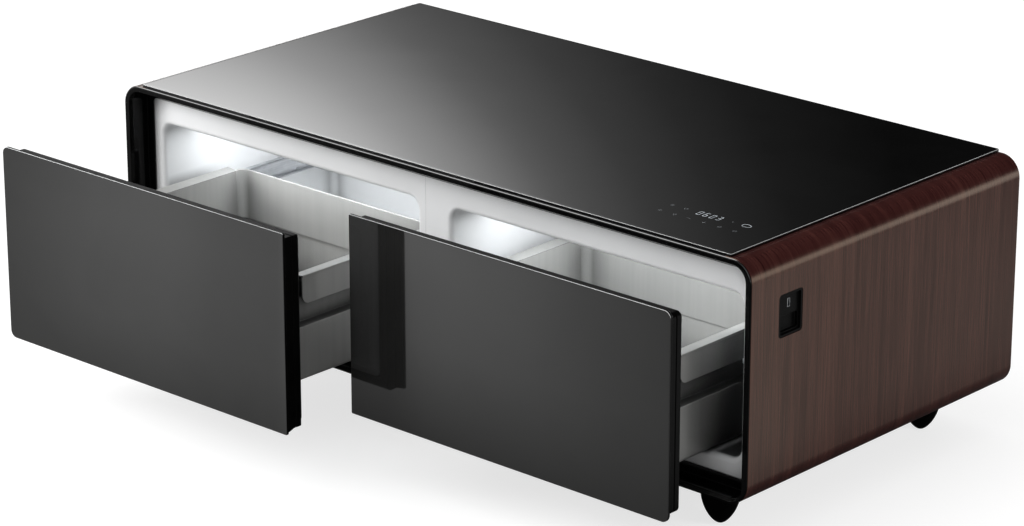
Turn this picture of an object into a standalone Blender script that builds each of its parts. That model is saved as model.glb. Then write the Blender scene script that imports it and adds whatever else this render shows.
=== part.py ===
# Refrigerator coffee table with two cooled drawers, shown with both drawers open.
# Units are metres, +Z is up, the front faces -Y and the table stands on Z = 0.
# Depths in the cabinet and in the drawers are counted back from the front face of the rim.

import math

import bmesh
import bpy
from mathutils import Vector

# Overall sizes
TABLE_WIDTH = 1.300
TABLE_HEIGHT = 0.455
BODY_DEPTH = 0.653
FOOT_HEIGHT = 0.0765
TOP_CORNER_RADIUS = 0.034
BOTTOM_CORNER_RADIUS = 0.036

# How far each drawer stands open
LEFT_OPENING = 0.278
RIGHT_OPENING = 0.149

# Clearances shared by all pieces
GAP = 0.0003
CUT_OVERRUN = 0.002

# Skin of the cabinet
PANEL_THICK = 0.003
PANEL_TUCK = 0.010
BACK_THICK = 0.0015
SHELL_SETBACK = 0.001
BACK_RECESS = 0.0035

# Glass top
GLASS_THICK = 0.0045
GLASS_SIDE_MARGIN = 0.040
GLASS_SETBACK = 0.003
GLASS_CORNER = 0.003
GLASS_CHAMFER = 0.0010

# Front rim
RIM_FACE_THICK = 0.002
RIM_SIDE_WIDTH = 0.0135
RIM_TOP_WIDTH = 0.0123
RIM_BOTTOM_WIDTH = 0.0069
RIM_DEPTH = 0.0405
RIM_INNER_RADIUS = 0.0215
RIM_CHAMFER = 0.0010
LIP_THICK = 0.002
LIP_SIDE_WIDTH = 0.0136
LIP_HEIGHT_WIDTH = 0.0160
LIP_RADIUS = 0.008

# Inner liners
FLANGE_THICK = 0.0025
FLANGE_TUCK = 0.008
SEAM_OFFSET = 0.018
THROAT_SIDE_MARGIN = 0.047
THROAT_INNER_X = 0.036
THROAT_LOW_MARGIN = 0.0495
THROAT_TOP_MARGIN = 0.0692
THROAT_LIP = 0.0085
THROAT_RADIUS = 0.018
LINER_WALL = 0.002
LINER_BACK_RADIUS = 0.012
FOAM_THICK = 0.040
BAY_DEPTH = 0.183
BULKHEAD_THICK = 0.0012

# Light bars
LIGHT_LENGTH = 0.240
LIGHT_WIDTH = 0.014
LIGHT_HEIGHT = 0.007
LIGHT_DEPTH = 0.066

# Evaporator plates behind the liners
EVAPORATOR_MARGIN = 0.0535
EVAPORATOR_HEIGHT = 0.190
EVAPORATOR_THICK = 0.0025
EVAPORATOR_RADIUS = 0.012
EVAPORATOR_RIDGES = 5
EVAPORATOR_RIDGE_WIDTH = 0.012
EVAPORATOR_RIDGE_HEIGHT = 0.0025

# Touch panel board under the glass
TOUCH_MARGIN = 0.082
TOUCH_WIDTH = 0.168
TOUCH_DEPTH = 0.066
TOUCH_LENGTH = 0.066
TOUCH_THICK = 0.0024
TOUCH_RADIUS = 0.004

# Charging module in the right side
MODULE_DEPTH = 0.0653
MODULE_WIDTH = 0.0540
MODULE_DROP = 0.0652
MODULE_HEIGHT = 0.0655
MODULE_RADIUS = 0.0060
MODULE_CHAMFER = 0.0006
MODULE_FRAME = 0.0040
MODULE_RECESS = 0.0045
MODULE_BEHIND = 0.024
MODULE_WALL = 0.0020
SOCKET_HEIGHT_SHARE = 0.73
SOCKET_WIDTH = 0.0131
SOCKET_HEIGHT = 0.0057
SOCKET_DEPTH = 0.0120
SOCKET_SHELL = 0.0010
TONGUE_THICK = 0.0018
TONGUE_DEPTH = 0.0090
TRAY_HEIGHT = 0.0245
TRAY_RADIUS = 0.0035
TRAY_DEPTH = 0.0050

# Feet
FOOT_RADIUS = 0.0305
FOOT_BASE_RADIUS = 0.0050
FOOT_SWELL_HEIGHT = 0.055
FOOT_SIDE_MARGIN = 0.111
FOOT_END_MARGIN = 0.0795
FOOT_BULGE_SHARE = 0.75
FOOT_RINGS = 7
FOOT_SIDES = 20

# Machine bay grilles in the back panel
GRILLE_WIDTH = 0.300
GRILLE_HEIGHT = 0.150
GRILLE_SIDE_MARGIN = 0.120
GRILLE_RISE = 0.0535
GRILLE_THICK = 0.006
GRILLE_FLANGE = 0.010
GRILLE_FLANGE_THICK = 0.0012
GRILLE_RADIUS = 0.006
GRILLE_SLOTS = 9
GRILLE_SLOT_SHARE = 0.62
GRILLE_SLOT_END = 0.012
GRILLE_MULLION = 0.010
GRILLE_LEAN_SHARE = 0.50

# Mains inlet in the back panel
INLET_SIDE_MARGIN = 0.090
INLET_DROP = 0.110
INLET_WIDTH = 0.0275
INLET_HEIGHT = 0.0200
INLET_FLANGE = 0.0045
INLET_FLANGE_THICK = 0.0025
INLET_BODY = 0.022
INLET_RECESS = 0.0165
INLET_RIM = 0.0016
INLET_RADIUS = 0.003
INLET_PIN_WIDTH = 0.0040
INLET_PIN_THICK = 0.0020
INLET_PIN_SPACING = 0.0070
INLET_PIN_LENGTH = 0.0120

# Cooling plant in the machine bay
COMPRESSOR_SIDE_MARGIN = 0.350
COMPRESSOR_BACK_MARGIN = 0.093
COMPRESSOR_RADIUS = 0.063
COMPRESSOR_HEIGHT = 0.148
COMPRESSOR_DOME_SHARE = 0.45
COMPRESSOR_STAND_SHARE = 0.60
COMPRESSOR_STUB_SHARE = 0.32
COMPRESSOR_SEAM = 0.0045
COMPRESSOR_SEAM_HEIGHT = 0.006
COMPRESSOR_CLEARANCE = 0.014
COMPRESSOR_PLATE_WIDTH = 0.190
COMPRESSOR_PLATE_DEPTH = 0.112
COMPRESSOR_PLATE_THICK = 0.003
COMPRESSOR_GROMMET = 0.011
COMPRESSOR_STUB_RADIUS = 0.005
COMPRESSOR_STUB_LENGTH = 0.018
COMPRESSOR_TERMINAL_WIDTH = 0.050
COMPRESSOR_TERMINAL_HEIGHT = 0.056
COMPRESSOR_TERMINAL_DEPTH = 0.024
COMPRESSOR_SIDES = 24
STUB_ROOT_SHARE = 0.8
SUCTION_STUB_ANGLE = -40
GROMMET_PLACE_SHARE = 1.2

CONDENSER_SIDE_MARGIN = 0.320
CONDENSER_BACK_MARGIN = 0.108
CONDENSER_WIDTH = 0.220
CONDENSER_THICK = 0.036
CONDENSER_HEIGHT = 0.190
CONDENSER_TUBES = 9
CONDENSER_TUBE_SHARE = 0.45
CONDENSER_HEADER = 0.014
CONDENSER_FOOT = 0.006

FAN_GAP = 0.004
FAN_RADIUS = 0.066
FAN_RIM = 0.008
FAN_SHROUD_DEPTH = 0.020
FAN_TIP_GAP = 0.003
FAN_HUB_RADIUS = 0.019
FAN_HUB_DEPTH = 0.014
FAN_BLADES = 7
FAN_BLADE_THICK = 0.0018
FAN_BLADE_LEAN = 0.010
FAN_BLADE_ROOT = 0.013
FAN_BLADE_TIP = 0.026
FAN_SHAFT_RADIUS = 0.0025
FAN_SHAFT_LENGTH = 0.008
FAN_MOTOR_RADIUS = 0.017
FAN_MOTOR_DEPTH = 0.022
FAN_ARM_WIDTH = 0.010
FAN_ARM_THICK = 0.003
FAN_ROUND_SHARE = 0.8
FAN_SIDES = 28

DRIER_RADIUS = 0.009
DRIER_LENGTH = 0.070
DRIER_NECK_RADIUS = 0.0035
DRIER_NECK_LENGTH = 0.008
DRIER_SIDES = 12
DRIER_PLACE_SHARE = 0.8
PIPE_BEND_SHARE = 0.3
PIPE_RADIUS = 0.0032
SUCTION_RADIUS = 0.0042

CONTROL_BOX_OFFSET = 0.020
CONTROL_BOX_WIDTH = 0.170
CONTROL_BOX_HEIGHT = 0.110
CONTROL_BOX_DEPTH = 0.045
CONTROL_BOX_DROP = 0.050
CONTROL_BOX_RADIUS = 0.006
CONTROL_BOX_LID = 0.004
CONTROL_BOX_RIB = 0.003
CONTROL_BOX_RIBS = 6

# Drawer fronts
FRONT_INNER_X = 0.0042
FRONT_SIDE_MARGIN = 0.0221
FRONT_LOW_MARGIN = 0.0191
FRONT_TOP_MARGIN = 0.0360
FRONT_GLASS_THICK = 0.0050
FRONT_CORNER = 0.012
FRONT_SQUARE_CORNER = 0.002
DOOR_DEPTH = 0.0353
DOOR_INNER_INSET = 0.0016
DOOR_OUTER_INSET = 0.0071
DOOR_LOW_INSET = 0.0056
DOOR_TOP_INSET = 0.0094
DOOR_CORNER = 0.009
DOOR_SCOOP = 0.0060
DOOR_SCOOP_DEPTH = 0.0165
DOOR_GROOVE_DEPTH = 0.0218
DOOR_GROOVE_WIDTH = 0.0020
DOOR_GROOVE_CUT = 0.0015
DOOR_EDGE = 0.0030
DOOR_FACE_SHARE = 0.55
DOOR_TAPER_SHARE = 0.33
GASKET_INSET = 0.002
GASKET_WIDTH = 0.012
GASKET_CREST_SHARE = 0.45
LINER_PLUG_EDGE = 0.010
LINER_PLUG_DEPTH = 0.0105
LINER_PLUG_RADIUS = 0.012
LINER_PLUG_SLOPE = 0.004

# Drawer baskets
BASKET_INNER_MARGIN = 0.050
BASKET_OUTER_MARGIN = 0.054
BASKET_FLOOR_GAP = 0.0015
BASKET_STEP_HEIGHT = 0.0880
BASKET_HEIGHT = 0.1695
BASKET_FRONT = 0.0500
BASKET_BACK_GAP = 0.0050
BASKET_WALL = 0.0025
BASKET_CORNER = 0.014
BASKET_FLOOR_RADIUS = 0.008
BASKET_SHELF = 0.0188
BASKET_SHELF_END = 0.0020
BASKET_BEAD = 0.0010
BASKET_BEAD_HEIGHT = 0.0030
SKIRT_START = 0.119
SKIRT_HEIGHT = 0.0464
SKIRT_RADIUS = 0.014

# Telescopic slides, measured across the drawer from its middle
RAIL_BAR_THICK = 0.0015
RAIL_DROP = 0.0250
RAIL_REACH = 0.0070
RAIL_HALF_HEIGHT = 0.0130
MEMBER_THICK = 0.0014
MEMBER_GAP = 0.0004
RAIL_SETBACK = 0.009
RAIL_PLATE_THICK = 0.0020
RAIL_PLATE_WIDTH = 0.024
RAIL_PLATE_HEIGHT = 0.036
FIXED_START = 0.056
FIXED_BACK_GAP = 0.004
BRACKET_WIDTH = 0.034
BRACKET_THICK = 0.0015
BRACKET_DROP = 0.0150
BRACKET_RISE = 0.026
BRACKET_PLACES_SHARES = (0.22, 0.84)

# Number of steps in a rounded corner and in a small rounded edge
CORNER_STEPS = 4
EDGE_STEPS = 3
BEND_SHARE = 0.30
WELD = 0.0000002

# Worked out from the sizes above
HALF_WIDTH = TABLE_WIDTH / 2
GLASS_LOW_Z = TABLE_HEIGHT - GLASS_THICK
BODY_HIGH_Z = GLASS_LOW_Z - GAP
BODY_LOW_Z = FOOT_HEIGHT
FRONT_Y = (LEFT_OPENING - BODY_DEPTH) / 2
FLOOR_TOP = BODY_LOW_Z + PANEL_THICK
SKIN = PANEL_THICK + GAP
RIM_OPENING_X = HALF_WIDTH - RIM_SIDE_WIDTH
RIM_OPENING_LOW_Z = BODY_LOW_Z + RIM_BOTTOM_WIDTH
RIM_OPENING_HIGH_Z = BODY_HIGH_Z - RIM_TOP_WIDTH
LIP_X = RIM_OPENING_X - LIP_SIDE_WIDTH
LIP_LOW_Z = RIM_OPENING_LOW_Z + LIP_HEIGHT_WIDTH
LIP_HIGH_Z = RIM_OPENING_HIGH_Z - LIP_HEIGHT_WIDTH
FLANGE_FRONT = RIM_DEPTH + GAP
FLANGE_BACK = FLANGE_FRONT + FLANGE_THICK
SHELL_BACK = BODY_DEPTH - SHELL_SETBACK
BACK_FACE = BODY_DEPTH - BACK_RECESS
BACK_INSIDE = BACK_FACE - BACK_THICK
FOAM_BACK = BODY_DEPTH - BAY_DEPTH
LINER_BACK = FOAM_BACK - FOAM_THICK
BAY_FRONT = FOAM_BACK + GAP + BULKHEAD_THICK
GLASS_HALF_WIDTH = HALF_WIDTH - GLASS_SIDE_MARGIN
DECK_HALF_WIDTH = GLASS_HALF_WIDTH - PANEL_TUCK

THROAT_OUTER_X = HALF_WIDTH - THROAT_SIDE_MARGIN
THROAT_LOW_Z = BODY_LOW_Z + THROAT_LOW_MARGIN
THROAT_HIGH_Z = BODY_HIGH_Z - THROAT_TOP_MARGIN
THROAT_MIDDLE_X = (THROAT_INNER_X + THROAT_OUTER_X) / 2

TOUCH_X = HALF_WIDTH - TOUCH_MARGIN - TOUCH_WIDTH
MODULE_LOW_Z = BODY_HIGH_Z - MODULE_DROP - MODULE_HEIGHT
GRILLE_X = HALF_WIDTH - GRILLE_SIDE_MARGIN - GRILLE_WIDTH / 2
GRILLE_LOW_Z = BODY_LOW_Z + GRILLE_RISE
INLET_X = INLET_SIDE_MARGIN - HALF_WIDTH
INLET_Z = BODY_HIGH_Z - INLET_DROP
COMPRESSOR_X = COMPRESSOR_SIDE_MARGIN - HALF_WIDTH
COMPRESSOR_DEPTH = BODY_DEPTH - COMPRESSOR_BACK_MARGIN
CONDENSER_X = HALF_WIDTH - CONDENSER_SIDE_MARGIN
CONDENSER_DEPTH = BODY_DEPTH - CONDENSER_BACK_MARGIN
CONTROL_BOX_LOW_Z = BODY_HIGH_Z - CONTROL_BOX_DROP - CONTROL_BOX_HEIGHT

FRONT_OUTER_X = HALF_WIDTH - FRONT_SIDE_MARGIN
FRONT_LOW_Z = BODY_LOW_Z + FRONT_LOW_MARGIN
FRONT_HIGH_Z = BODY_HIGH_Z - FRONT_TOP_MARGIN
DOOR_INNER_X = FRONT_INNER_X + DOOR_INNER_INSET
DOOR_OUTER_X = FRONT_OUTER_X - DOOR_OUTER_INSET
DOOR_LOW_Z = FRONT_LOW_Z + DOOR_LOW_INSET
DOOR_HIGH_Z = FRONT_HIGH_Z - DOOR_TOP_INSET

BASKET_INNER_X = THROAT_INNER_X + BASKET_INNER_MARGIN
BASKET_OUTER_X = THROAT_OUTER_X - BASKET_OUTER_MARGIN
BASKET_MIDDLE_X = (BASKET_INNER_X + BASKET_OUTER_X) / 2
BASKET_HALF = (BASKET_OUTER_X - BASKET_INNER_X) / 2
UPPER_HALF = BASKET_HALF - BASKET_SHELF
BASKET_LOW_Z = THROAT_LOW_Z + BASKET_FLOOR_GAP
BASKET_STEP_Z = BASKET_LOW_Z + BASKET_STEP_HEIGHT
BASKET_HIGH_Z = BASKET_LOW_Z + BASKET_HEIGHT
BASKET_BACK = LINER_BACK - BASKET_BACK_GAP
RAIL_Z = BASKET_HIGH_Z - RAIL_DROP
RAIL_END = BASKET_BACK - RAIL_SETBACK
FIXED_END = LINER_BACK - FIXED_BACK_GAP


def clear_scene():
    for item in list(bpy.data.objects):
        bpy.data.objects.remove(item, do_unlink=True)


def material(name, colour, roughness, metallic=0.0):
    made = bpy.data.materials.new(name)
    made.use_nodes = True
    shader = made.node_tree.nodes["Principled BSDF"]
    shader.inputs["Base Color"].default_value = (*colour, 1.0)
    shader.inputs["Roughness"].default_value = roughness
    shader.inputs["Metallic"].default_value = metallic
    return made


def make_materials():
    return {
        "wood": material("wood_grain", (0.075, 0.042, 0.034), 0.38),
        "glass": material("black_glass", (0.006, 0.006, 0.006), 0.05),
        "tinted": material("front_glass", (0.010, 0.010, 0.010), 0.06),
        "gloss": material("gloss_black", (0.010, 0.010, 0.010), 0.15),
        "liner": material("liner_white", (0.80, 0.81, 0.82), 0.35),
        "basket": material("basket_grey", (0.17, 0.17, 0.165), 0.35),
        "rubber": material("rubber_black", (0.020, 0.020, 0.020), 0.70),
        "steel": material("zinc_steel", (0.55, 0.56, 0.57), 0.35, 1.0),
        "painted": material("painted_black", (0.020, 0.020, 0.021), 0.45),
        "foam": material("insulation_foam", (0.72, 0.60, 0.32), 0.90),
        "plastic": material("black_plastic", (0.020, 0.020, 0.020), 0.40),
        "copper": material("copper_pipe", (0.70, 0.33, 0.20), 0.30, 1.0),
        "aluminium": material("aluminium", (0.70, 0.71, 0.72), 0.35, 1.0),
        "light": material("light_diffuser", (0.90, 0.92, 0.95), 0.40),
        "board": material("circuit_board", (0.020, 0.090, 0.050), 0.50),
    }


def group(name, location, parent=None):
    empty = bpy.data.objects.new(name, None)
    empty.location = location
    empty.parent = parent
    bpy.context.scene.collection.objects.link(empty)
    return empty


def finish(name, mesh_data, parent, surface, smooth=True):
    bmesh.ops.remove_doubles(mesh_data, verts=mesh_data.verts, dist=WELD)
    bmesh.ops.recalc_face_normals(mesh_data, faces=mesh_data.faces)
    mesh = bpy.data.meshes.new(name)
    mesh_data.to_mesh(mesh)
    mesh_data.free()
    made = bpy.data.objects.new(name, mesh)
    bpy.context.scene.collection.objects.link(made)
    made.parent = parent
    if surface is not None:
        mesh.materials.append(surface)
    if smooth:
        mesh.shade_smooth()
        mesh.set_sharp_from_angle(angle=math.radians(35))
    return made


def rounded(low_a, high_a, low_b, high_b, radius, top_radius=None, steps=CORNER_STEPS):
    """Points of a rounded rectangle, counter-clockwise from its lower right corner."""
    top_radius = radius if top_radius is None else top_radius
    corners = (
        (high_a - radius, low_b + radius, radius, -90),
        (high_a - top_radius, high_b - top_radius, top_radius, 0),
        (low_a + top_radius, high_b - top_radius, top_radius, 90),
        (low_a + radius, low_b + radius, radius, 180),
    )
    points = []
    for middle_a, middle_b, reach, start in corners:
        for step in range(steps + 1):
            angle = math.radians(start + 90 * step / steps)
            points.append((middle_a + reach * math.cos(angle), middle_b + reach * math.sin(angle)))
    return points


def uneven(low_a, high_a, low_b, high_b, right_radius, left_radius, steps=CORNER_STEPS):
    """A rounded rectangle whose right and left corners differ."""
    corners = (
        (high_a - right_radius, low_b + right_radius, right_radius, -90),
        (high_a - right_radius, high_b - right_radius, right_radius, 0),
        (low_a + left_radius, high_b - left_radius, left_radius, 90),
        (low_a + left_radius, low_b + left_radius, left_radius, 180),
    )
    points = []
    for middle_a, middle_b, reach, start in corners:
        for step in range(steps + 1):
            angle = math.radians(start + 90 * step / steps)
            points.append((middle_a + reach * math.cos(angle), middle_b + reach * math.sin(angle)))
    return points


def upright(points, depth):
    """Places a flat outline at one depth: first coordinate along X, second along Z."""
    return [(a, depth, b) for a, b in points]


def level(points, height):
    """Places a flat outline at one height: first coordinate along X, second along Y."""
    return [(a, b, height) for a, b in points]


def sideways(points, across):
    """Places a flat outline at one X: first coordinate along Y, second along Z."""
    return [(across, a, b) for a, b in points]


def loft(name, loops, parent, surface, ring=False, smooth=True):
    """Skins loops of equal length. A ring joins the last loop to the first, else both ends close."""
    mesh_data = bmesh.new()
    rows = [[mesh_data.verts.new(point) for point in loop] for loop in loops]
    count = len(loops[0])
    pairs = list(zip(rows, rows[1:]))
    if ring:
        pairs.append((rows[-1], rows[0]))
    for near, far in pairs:
        for index in range(count):
            following = (index + 1) % count
            mesh_data.faces.new((near[index], near[following], far[following], far[index]))
    if not ring:
        mesh_data.faces.new(rows[0])
        mesh_data.faces.new(list(reversed(rows[-1])))
    return finish(name, mesh_data, parent, surface, smooth)


def block(name, low, high, parent, surface):
    """A square-edged block between two corners."""
    outline = [(low[0], low[1]), (high[0], low[1]), (high[0], high[1]), (low[0], high[1])]
    return loft(name, [level(outline, low[2]), level(outline, high[2])], parent, surface, smooth=False)


def guide(made):
    made.hide_render = True
    made.display_type = "WIRE"
    return made


def boolean(target, tool, operation):
    step = target.modifiers.new(operation.lower(), "BOOLEAN")
    step.operation = operation
    step.solver = "EXACT"
    step.object = guide(tool)


def cut(target, tool):
    boolean(target, tool, "DIFFERENCE")


def fuse(target, tool):
    boolean(target, tool, "UNION")


def turned(name, profile, sides, parent, surface, axis="Z"):
    """A solid of revolution. Each profile pair is a radius and a place along the axis."""
    mesh_data = bmesh.new()
    rows = []
    for radius, along in profile:
        row = []
        for side in range(sides):
            angle = 2 * math.pi * side / sides
            across = radius * math.cos(angle)
            other = radius * math.sin(angle)
            places = {"Z": (across, other, along), "Y": (across, along, other), "X": (along, across, other)}
            row.append(mesh_data.verts.new(places[axis]))
        rows.append(row)
    for near, far in zip(rows, rows[1:]):
        for side in range(sides):
            following = (side + 1) % sides
            mesh_data.faces.new((near[side], near[following], far[following], far[side]))
    mesh_data.faces.new(rows[0])
    mesh_data.faces.new(list(reversed(rows[-1])))
    return finish(name, mesh_data, parent, surface)


def shell_outline(inset):
    """The table's outline seen from the front, drawn in by an inset."""
    return rounded(
        -HALF_WIDTH + inset, HALF_WIDTH - inset,
        BODY_LOW_Z + inset, BODY_HIGH_Z - inset,
        BOTTOM_CORNER_RADIUS - inset, TOP_CORNER_RADIUS - inset, CORNER_STEPS + EDGE_STEPS,
    )


def front_rim(parent, surface):
    steps = CORNER_STEPS + EDGE_STEPS

    def opening(grow):
        return rounded(
            -RIM_OPENING_X - grow, RIM_OPENING_X + grow,
            RIM_OPENING_LOW_Z - grow, RIM_OPENING_HIGH_Z + grow,
            RIM_INNER_RADIUS + grow, steps=steps,
        )

    lip = rounded(-LIP_X, LIP_X, LIP_LOW_Z, LIP_HIGH_Z, LIP_RADIUS, steps=steps)
    loops = [
        upright(shell_outline(RIM_CHAMFER), 0),
        upright(shell_outline(0), RIM_CHAMFER),
        upright(shell_outline(0), RIM_FACE_THICK),
        upright(shell_outline(SKIN), RIM_FACE_THICK),
        upright(shell_outline(SKIN), RIM_DEPTH),
        upright(lip, RIM_DEPTH),
        upright(lip, RIM_DEPTH - LIP_THICK),
        upright(opening(0), RIM_DEPTH - LIP_THICK),
        upright(opening(0), RIM_CHAMFER),
        upright(opening(RIM_CHAMFER), 0),
    ]
    return loft("front_rim", loops, parent, surface, ring=True)


def side_panel(name, side, parent, surface):
    """A curved panel that wraps over the top edge, down the side and under the bottom edge."""
    end_x = DECK_HALF_WIDTH
    steps = CORNER_STEPS + EDGE_STEPS

    def path(inset):
        points = [(end_x, BODY_HIGH_Z - inset)]
        reach = TOP_CORNER_RADIUS - inset
        middle = (HALF_WIDTH - TOP_CORNER_RADIUS, BODY_HIGH_Z - TOP_CORNER_RADIUS)
        for step in range(steps + 1):
            angle = math.radians(90 - 90 * step / steps)
            points.append((middle[0] + reach * math.cos(angle), middle[1] + reach * math.sin(angle)))
        reach = BOTTOM_CORNER_RADIUS - inset
        middle = (HALF_WIDTH - BOTTOM_CORNER_RADIUS, BODY_LOW_Z + BOTTOM_CORNER_RADIUS)
        for step in range(steps + 1):
            angle = math.radians(-90 * step / steps)
            points.append((middle[0] + reach * math.cos(angle), middle[1] + reach * math.sin(angle)))
        points.append((end_x, BODY_LOW_Z + inset))
        return points

    outer = path(0)
    inner = path(PANEL_THICK)
    section = [(side * a, b) for a, b in outer + list(reversed(inner))]
    loops = [upright(section, RIM_FACE_THICK + GAP), upright(section, SHELL_BACK)]
    return loft(name, loops, parent, surface)


def module_outline(inset):
    return rounded(
        MODULE_DEPTH + inset, MODULE_DEPTH + MODULE_WIDTH - inset,
        MODULE_LOW_Z + inset, MODULE_LOW_Z + MODULE_HEIGHT - inset,
        MODULE_RADIUS - inset,
    )


def cabinet_skin(cabinet, looks):
    front_rim(cabinet, looks["gloss"])
    side_panel("left_side_panel", -1, cabinet, looks["wood"])
    right = side_panel("right_side_panel", 1, cabinet, looks["wood"])
    window = module_outline(-GAP)
    low_x = HALF_WIDTH - PANEL_THICK - CUT_OVERRUN
    high_x = HALF_WIDTH + CUT_OVERRUN
    cut(right, loft("module_window", [sideways(window, low_x), sideways(window, high_x)], cabinet, None))

    deck_x = DECK_HALF_WIDTH - GAP
    deck = block(
        "top_deck",
        (-deck_x, RIM_FACE_THICK + GAP, BODY_HIGH_Z - PANEL_THICK),
        (deck_x, SHELL_BACK, BODY_HIGH_Z),
        cabinet, looks["painted"],
    )
    touch = touch_outline(-GAP)
    hole = [level(touch, BODY_HIGH_Z - PANEL_THICK - CUT_OVERRUN), level(touch, BODY_HIGH_Z + CUT_OVERRUN)]
    cut(deck, loft("touch_window", hole, cabinet, None))
    block(
        "base_pan",
        (-deck_x, RIM_FACE_THICK + GAP, BODY_LOW_Z),
        (deck_x, SHELL_BACK, FLOOR_TOP),
        cabinet, looks["painted"],
    )

    half = GLASS_HALF_WIDTH

    def glass(inset):
        return rounded(-half + inset, half - inset, GLASS_SETBACK + inset, BODY_DEPTH - inset, GLASS_CORNER)

    loops = [
        level(glass(GLASS_CHAMFER / 2), GLASS_LOW_Z),
        level(glass(0), GLASS_LOW_Z + GLASS_CHAMFER / 2),
        level(glass(0), TABLE_HEIGHT - GLASS_CHAMFER),
        level(glass(GLASS_CHAMFER), TABLE_HEIGHT),
    ]
    loft("glass_top", loops, cabinet, looks["glass"])


def touch_outline(inset):
    return rounded(
        TOUCH_X + inset, TOUCH_X + TOUCH_WIDTH - inset,
        TOUCH_DEPTH + inset, TOUCH_DEPTH + TOUCH_LENGTH - inset,
        TOUCH_RADIUS - inset,
    )


def touch_panel(cabinet, looks):
    outline = touch_outline(0)
    loops = [level(outline, BODY_HIGH_Z - TOUCH_THICK), level(outline, BODY_HIGH_Z)]
    loft("touch_control_panel", loops, cabinet, looks["board"])


def throat(side, grow):
    """Outline of one liner's opening, grown by an amount on every side."""
    low, high = THROAT_INNER_X - grow, THROAT_OUTER_X + grow
    if side < 0:
        low, high = -high, -low
    return rounded(low, high, THROAT_LOW_Z - grow, THROAT_HIGH_Z + grow, THROAT_RADIUS + grow)


def flange_outline(side):
    seam = -SEAM_OFFSET
    outer = LIP_X + FLANGE_TUCK
    low, high = (seam + GAP / 2, outer) if side > 0 else (-outer, seam - GAP / 2)
    corner = GASKET_INSET
    return rounded(low, high, LIP_LOW_Z - FLANGE_TUCK, LIP_HIGH_Z + FLANGE_TUCK, corner)


def liner(name, side, parent, surface):
    """White tub with a front flange; its mouth has a rolled edge and its back corners are round."""
    loops = []
    for step in range(EDGE_STEPS + 1):
        angle = math.radians(90 * step / EDGE_STEPS)
        inset = LINER_BACK_RADIUS * (1 - math.sin(angle))
        depth = LINER_BACK - LINER_BACK_RADIUS * (1 - math.cos(angle))
        loops.append(upright(throat(side, -inset), depth))
    for step in range(EDGE_STEPS + 1):
        angle = math.radians(90 * step / EDGE_STEPS)
        grow = THROAT_LIP * (1 - math.cos(angle))
        depth = FLANGE_FRONT + THROAT_LIP * (1 - math.sin(angle))
        loops.append(upright(throat(side, grow), depth))
    loops += [
        upright(flange_outline(side), FLANGE_FRONT),
        upright(flange_outline(side), FLANGE_BACK),
        upright(throat(side, THROAT_LIP + LINER_WALL), FLANGE_BACK),
        upright(throat(side, LINER_WALL), FLANGE_FRONT + THROAT_LIP + LINER_WALL),
    ]
    outer_radius = LINER_BACK_RADIUS + LINER_WALL
    for step in range(EDGE_STEPS, -1, -1):
        angle = math.radians(90 * step / EDGE_STEPS)
        grow = LINER_WALL - outer_radius * (1 - math.sin(angle))
        depth = LINER_BACK + LINER_WALL - outer_radius * (1 - math.cos(angle))
        loops.append(upright(throat(side, grow), depth))
    return loft(name, loops, parent, surface)


def liner_space(name, side, parent):
    """Room that a liner takes in the foam, with the shared clearance."""
    grow = LINER_WALL + GAP
    mouth = THROAT_LIP + LINER_WALL + GAP
    back = LINER_BACK + LINER_WALL + GAP
    loops = [
        upright(throat(side, mouth), FLANGE_BACK - CUT_OVERRUN),
        upright(throat(side, mouth), FLANGE_BACK),
        upright(throat(side, grow), FLANGE_FRONT + mouth),
        upright(throat(side, grow), back),
    ]
    return loft(name, loops, parent, None)


def insulation(cabinet, looks):
    outline = shell_outline(SKIN)
    foam = loft(
        "insulation_foam",
        [upright(outline, FLANGE_BACK + GAP), upright(outline, FOAM_BACK)],
        cabinet, looks["foam"],
    )
    for side, word in ((-1, "left"), (1, "right")):
        cut(foam, liner_space(word + "_liner_space", side, cabinet))
        low, high = evaporator_span(side)
        pocket = LINER_BACK + LINER_WALL
        deep = pocket + GAP + EVAPORATOR_THICK + EVAPORATOR_RIDGE_HEIGHT + GAP
        room = rounded(
            low - GAP, high + GAP, evaporator_low() - GAP, evaporator_low() + EVAPORATOR_HEIGHT + GAP,
            EVAPORATOR_RADIUS + GAP,
        )
        room = [upright(room, pocket), upright(room, deep)]
        cut(foam, loft(word + "_evaporator_space", room, cabinet, None))
    grown = module_outline(MODULE_FRAME / 2 - GAP)
    deep_x = HALF_WIDTH - MODULE_BEHIND - GAP
    room = [sideways(grown, deep_x), sideways(grown, HALF_WIDTH + CUT_OVERRUN)]
    cut(foam, loft("module_space", room, cabinet, None))


def evaporator_span(side):
    low = THROAT_INNER_X + EVAPORATOR_MARGIN
    high = THROAT_OUTER_X - EVAPORATOR_MARGIN
    return (low, high) if side > 0 else (-high, -low)


def evaporator_low():
    return (THROAT_LOW_Z + THROAT_HIGH_Z - EVAPORATOR_HEIGHT) / 2


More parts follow.
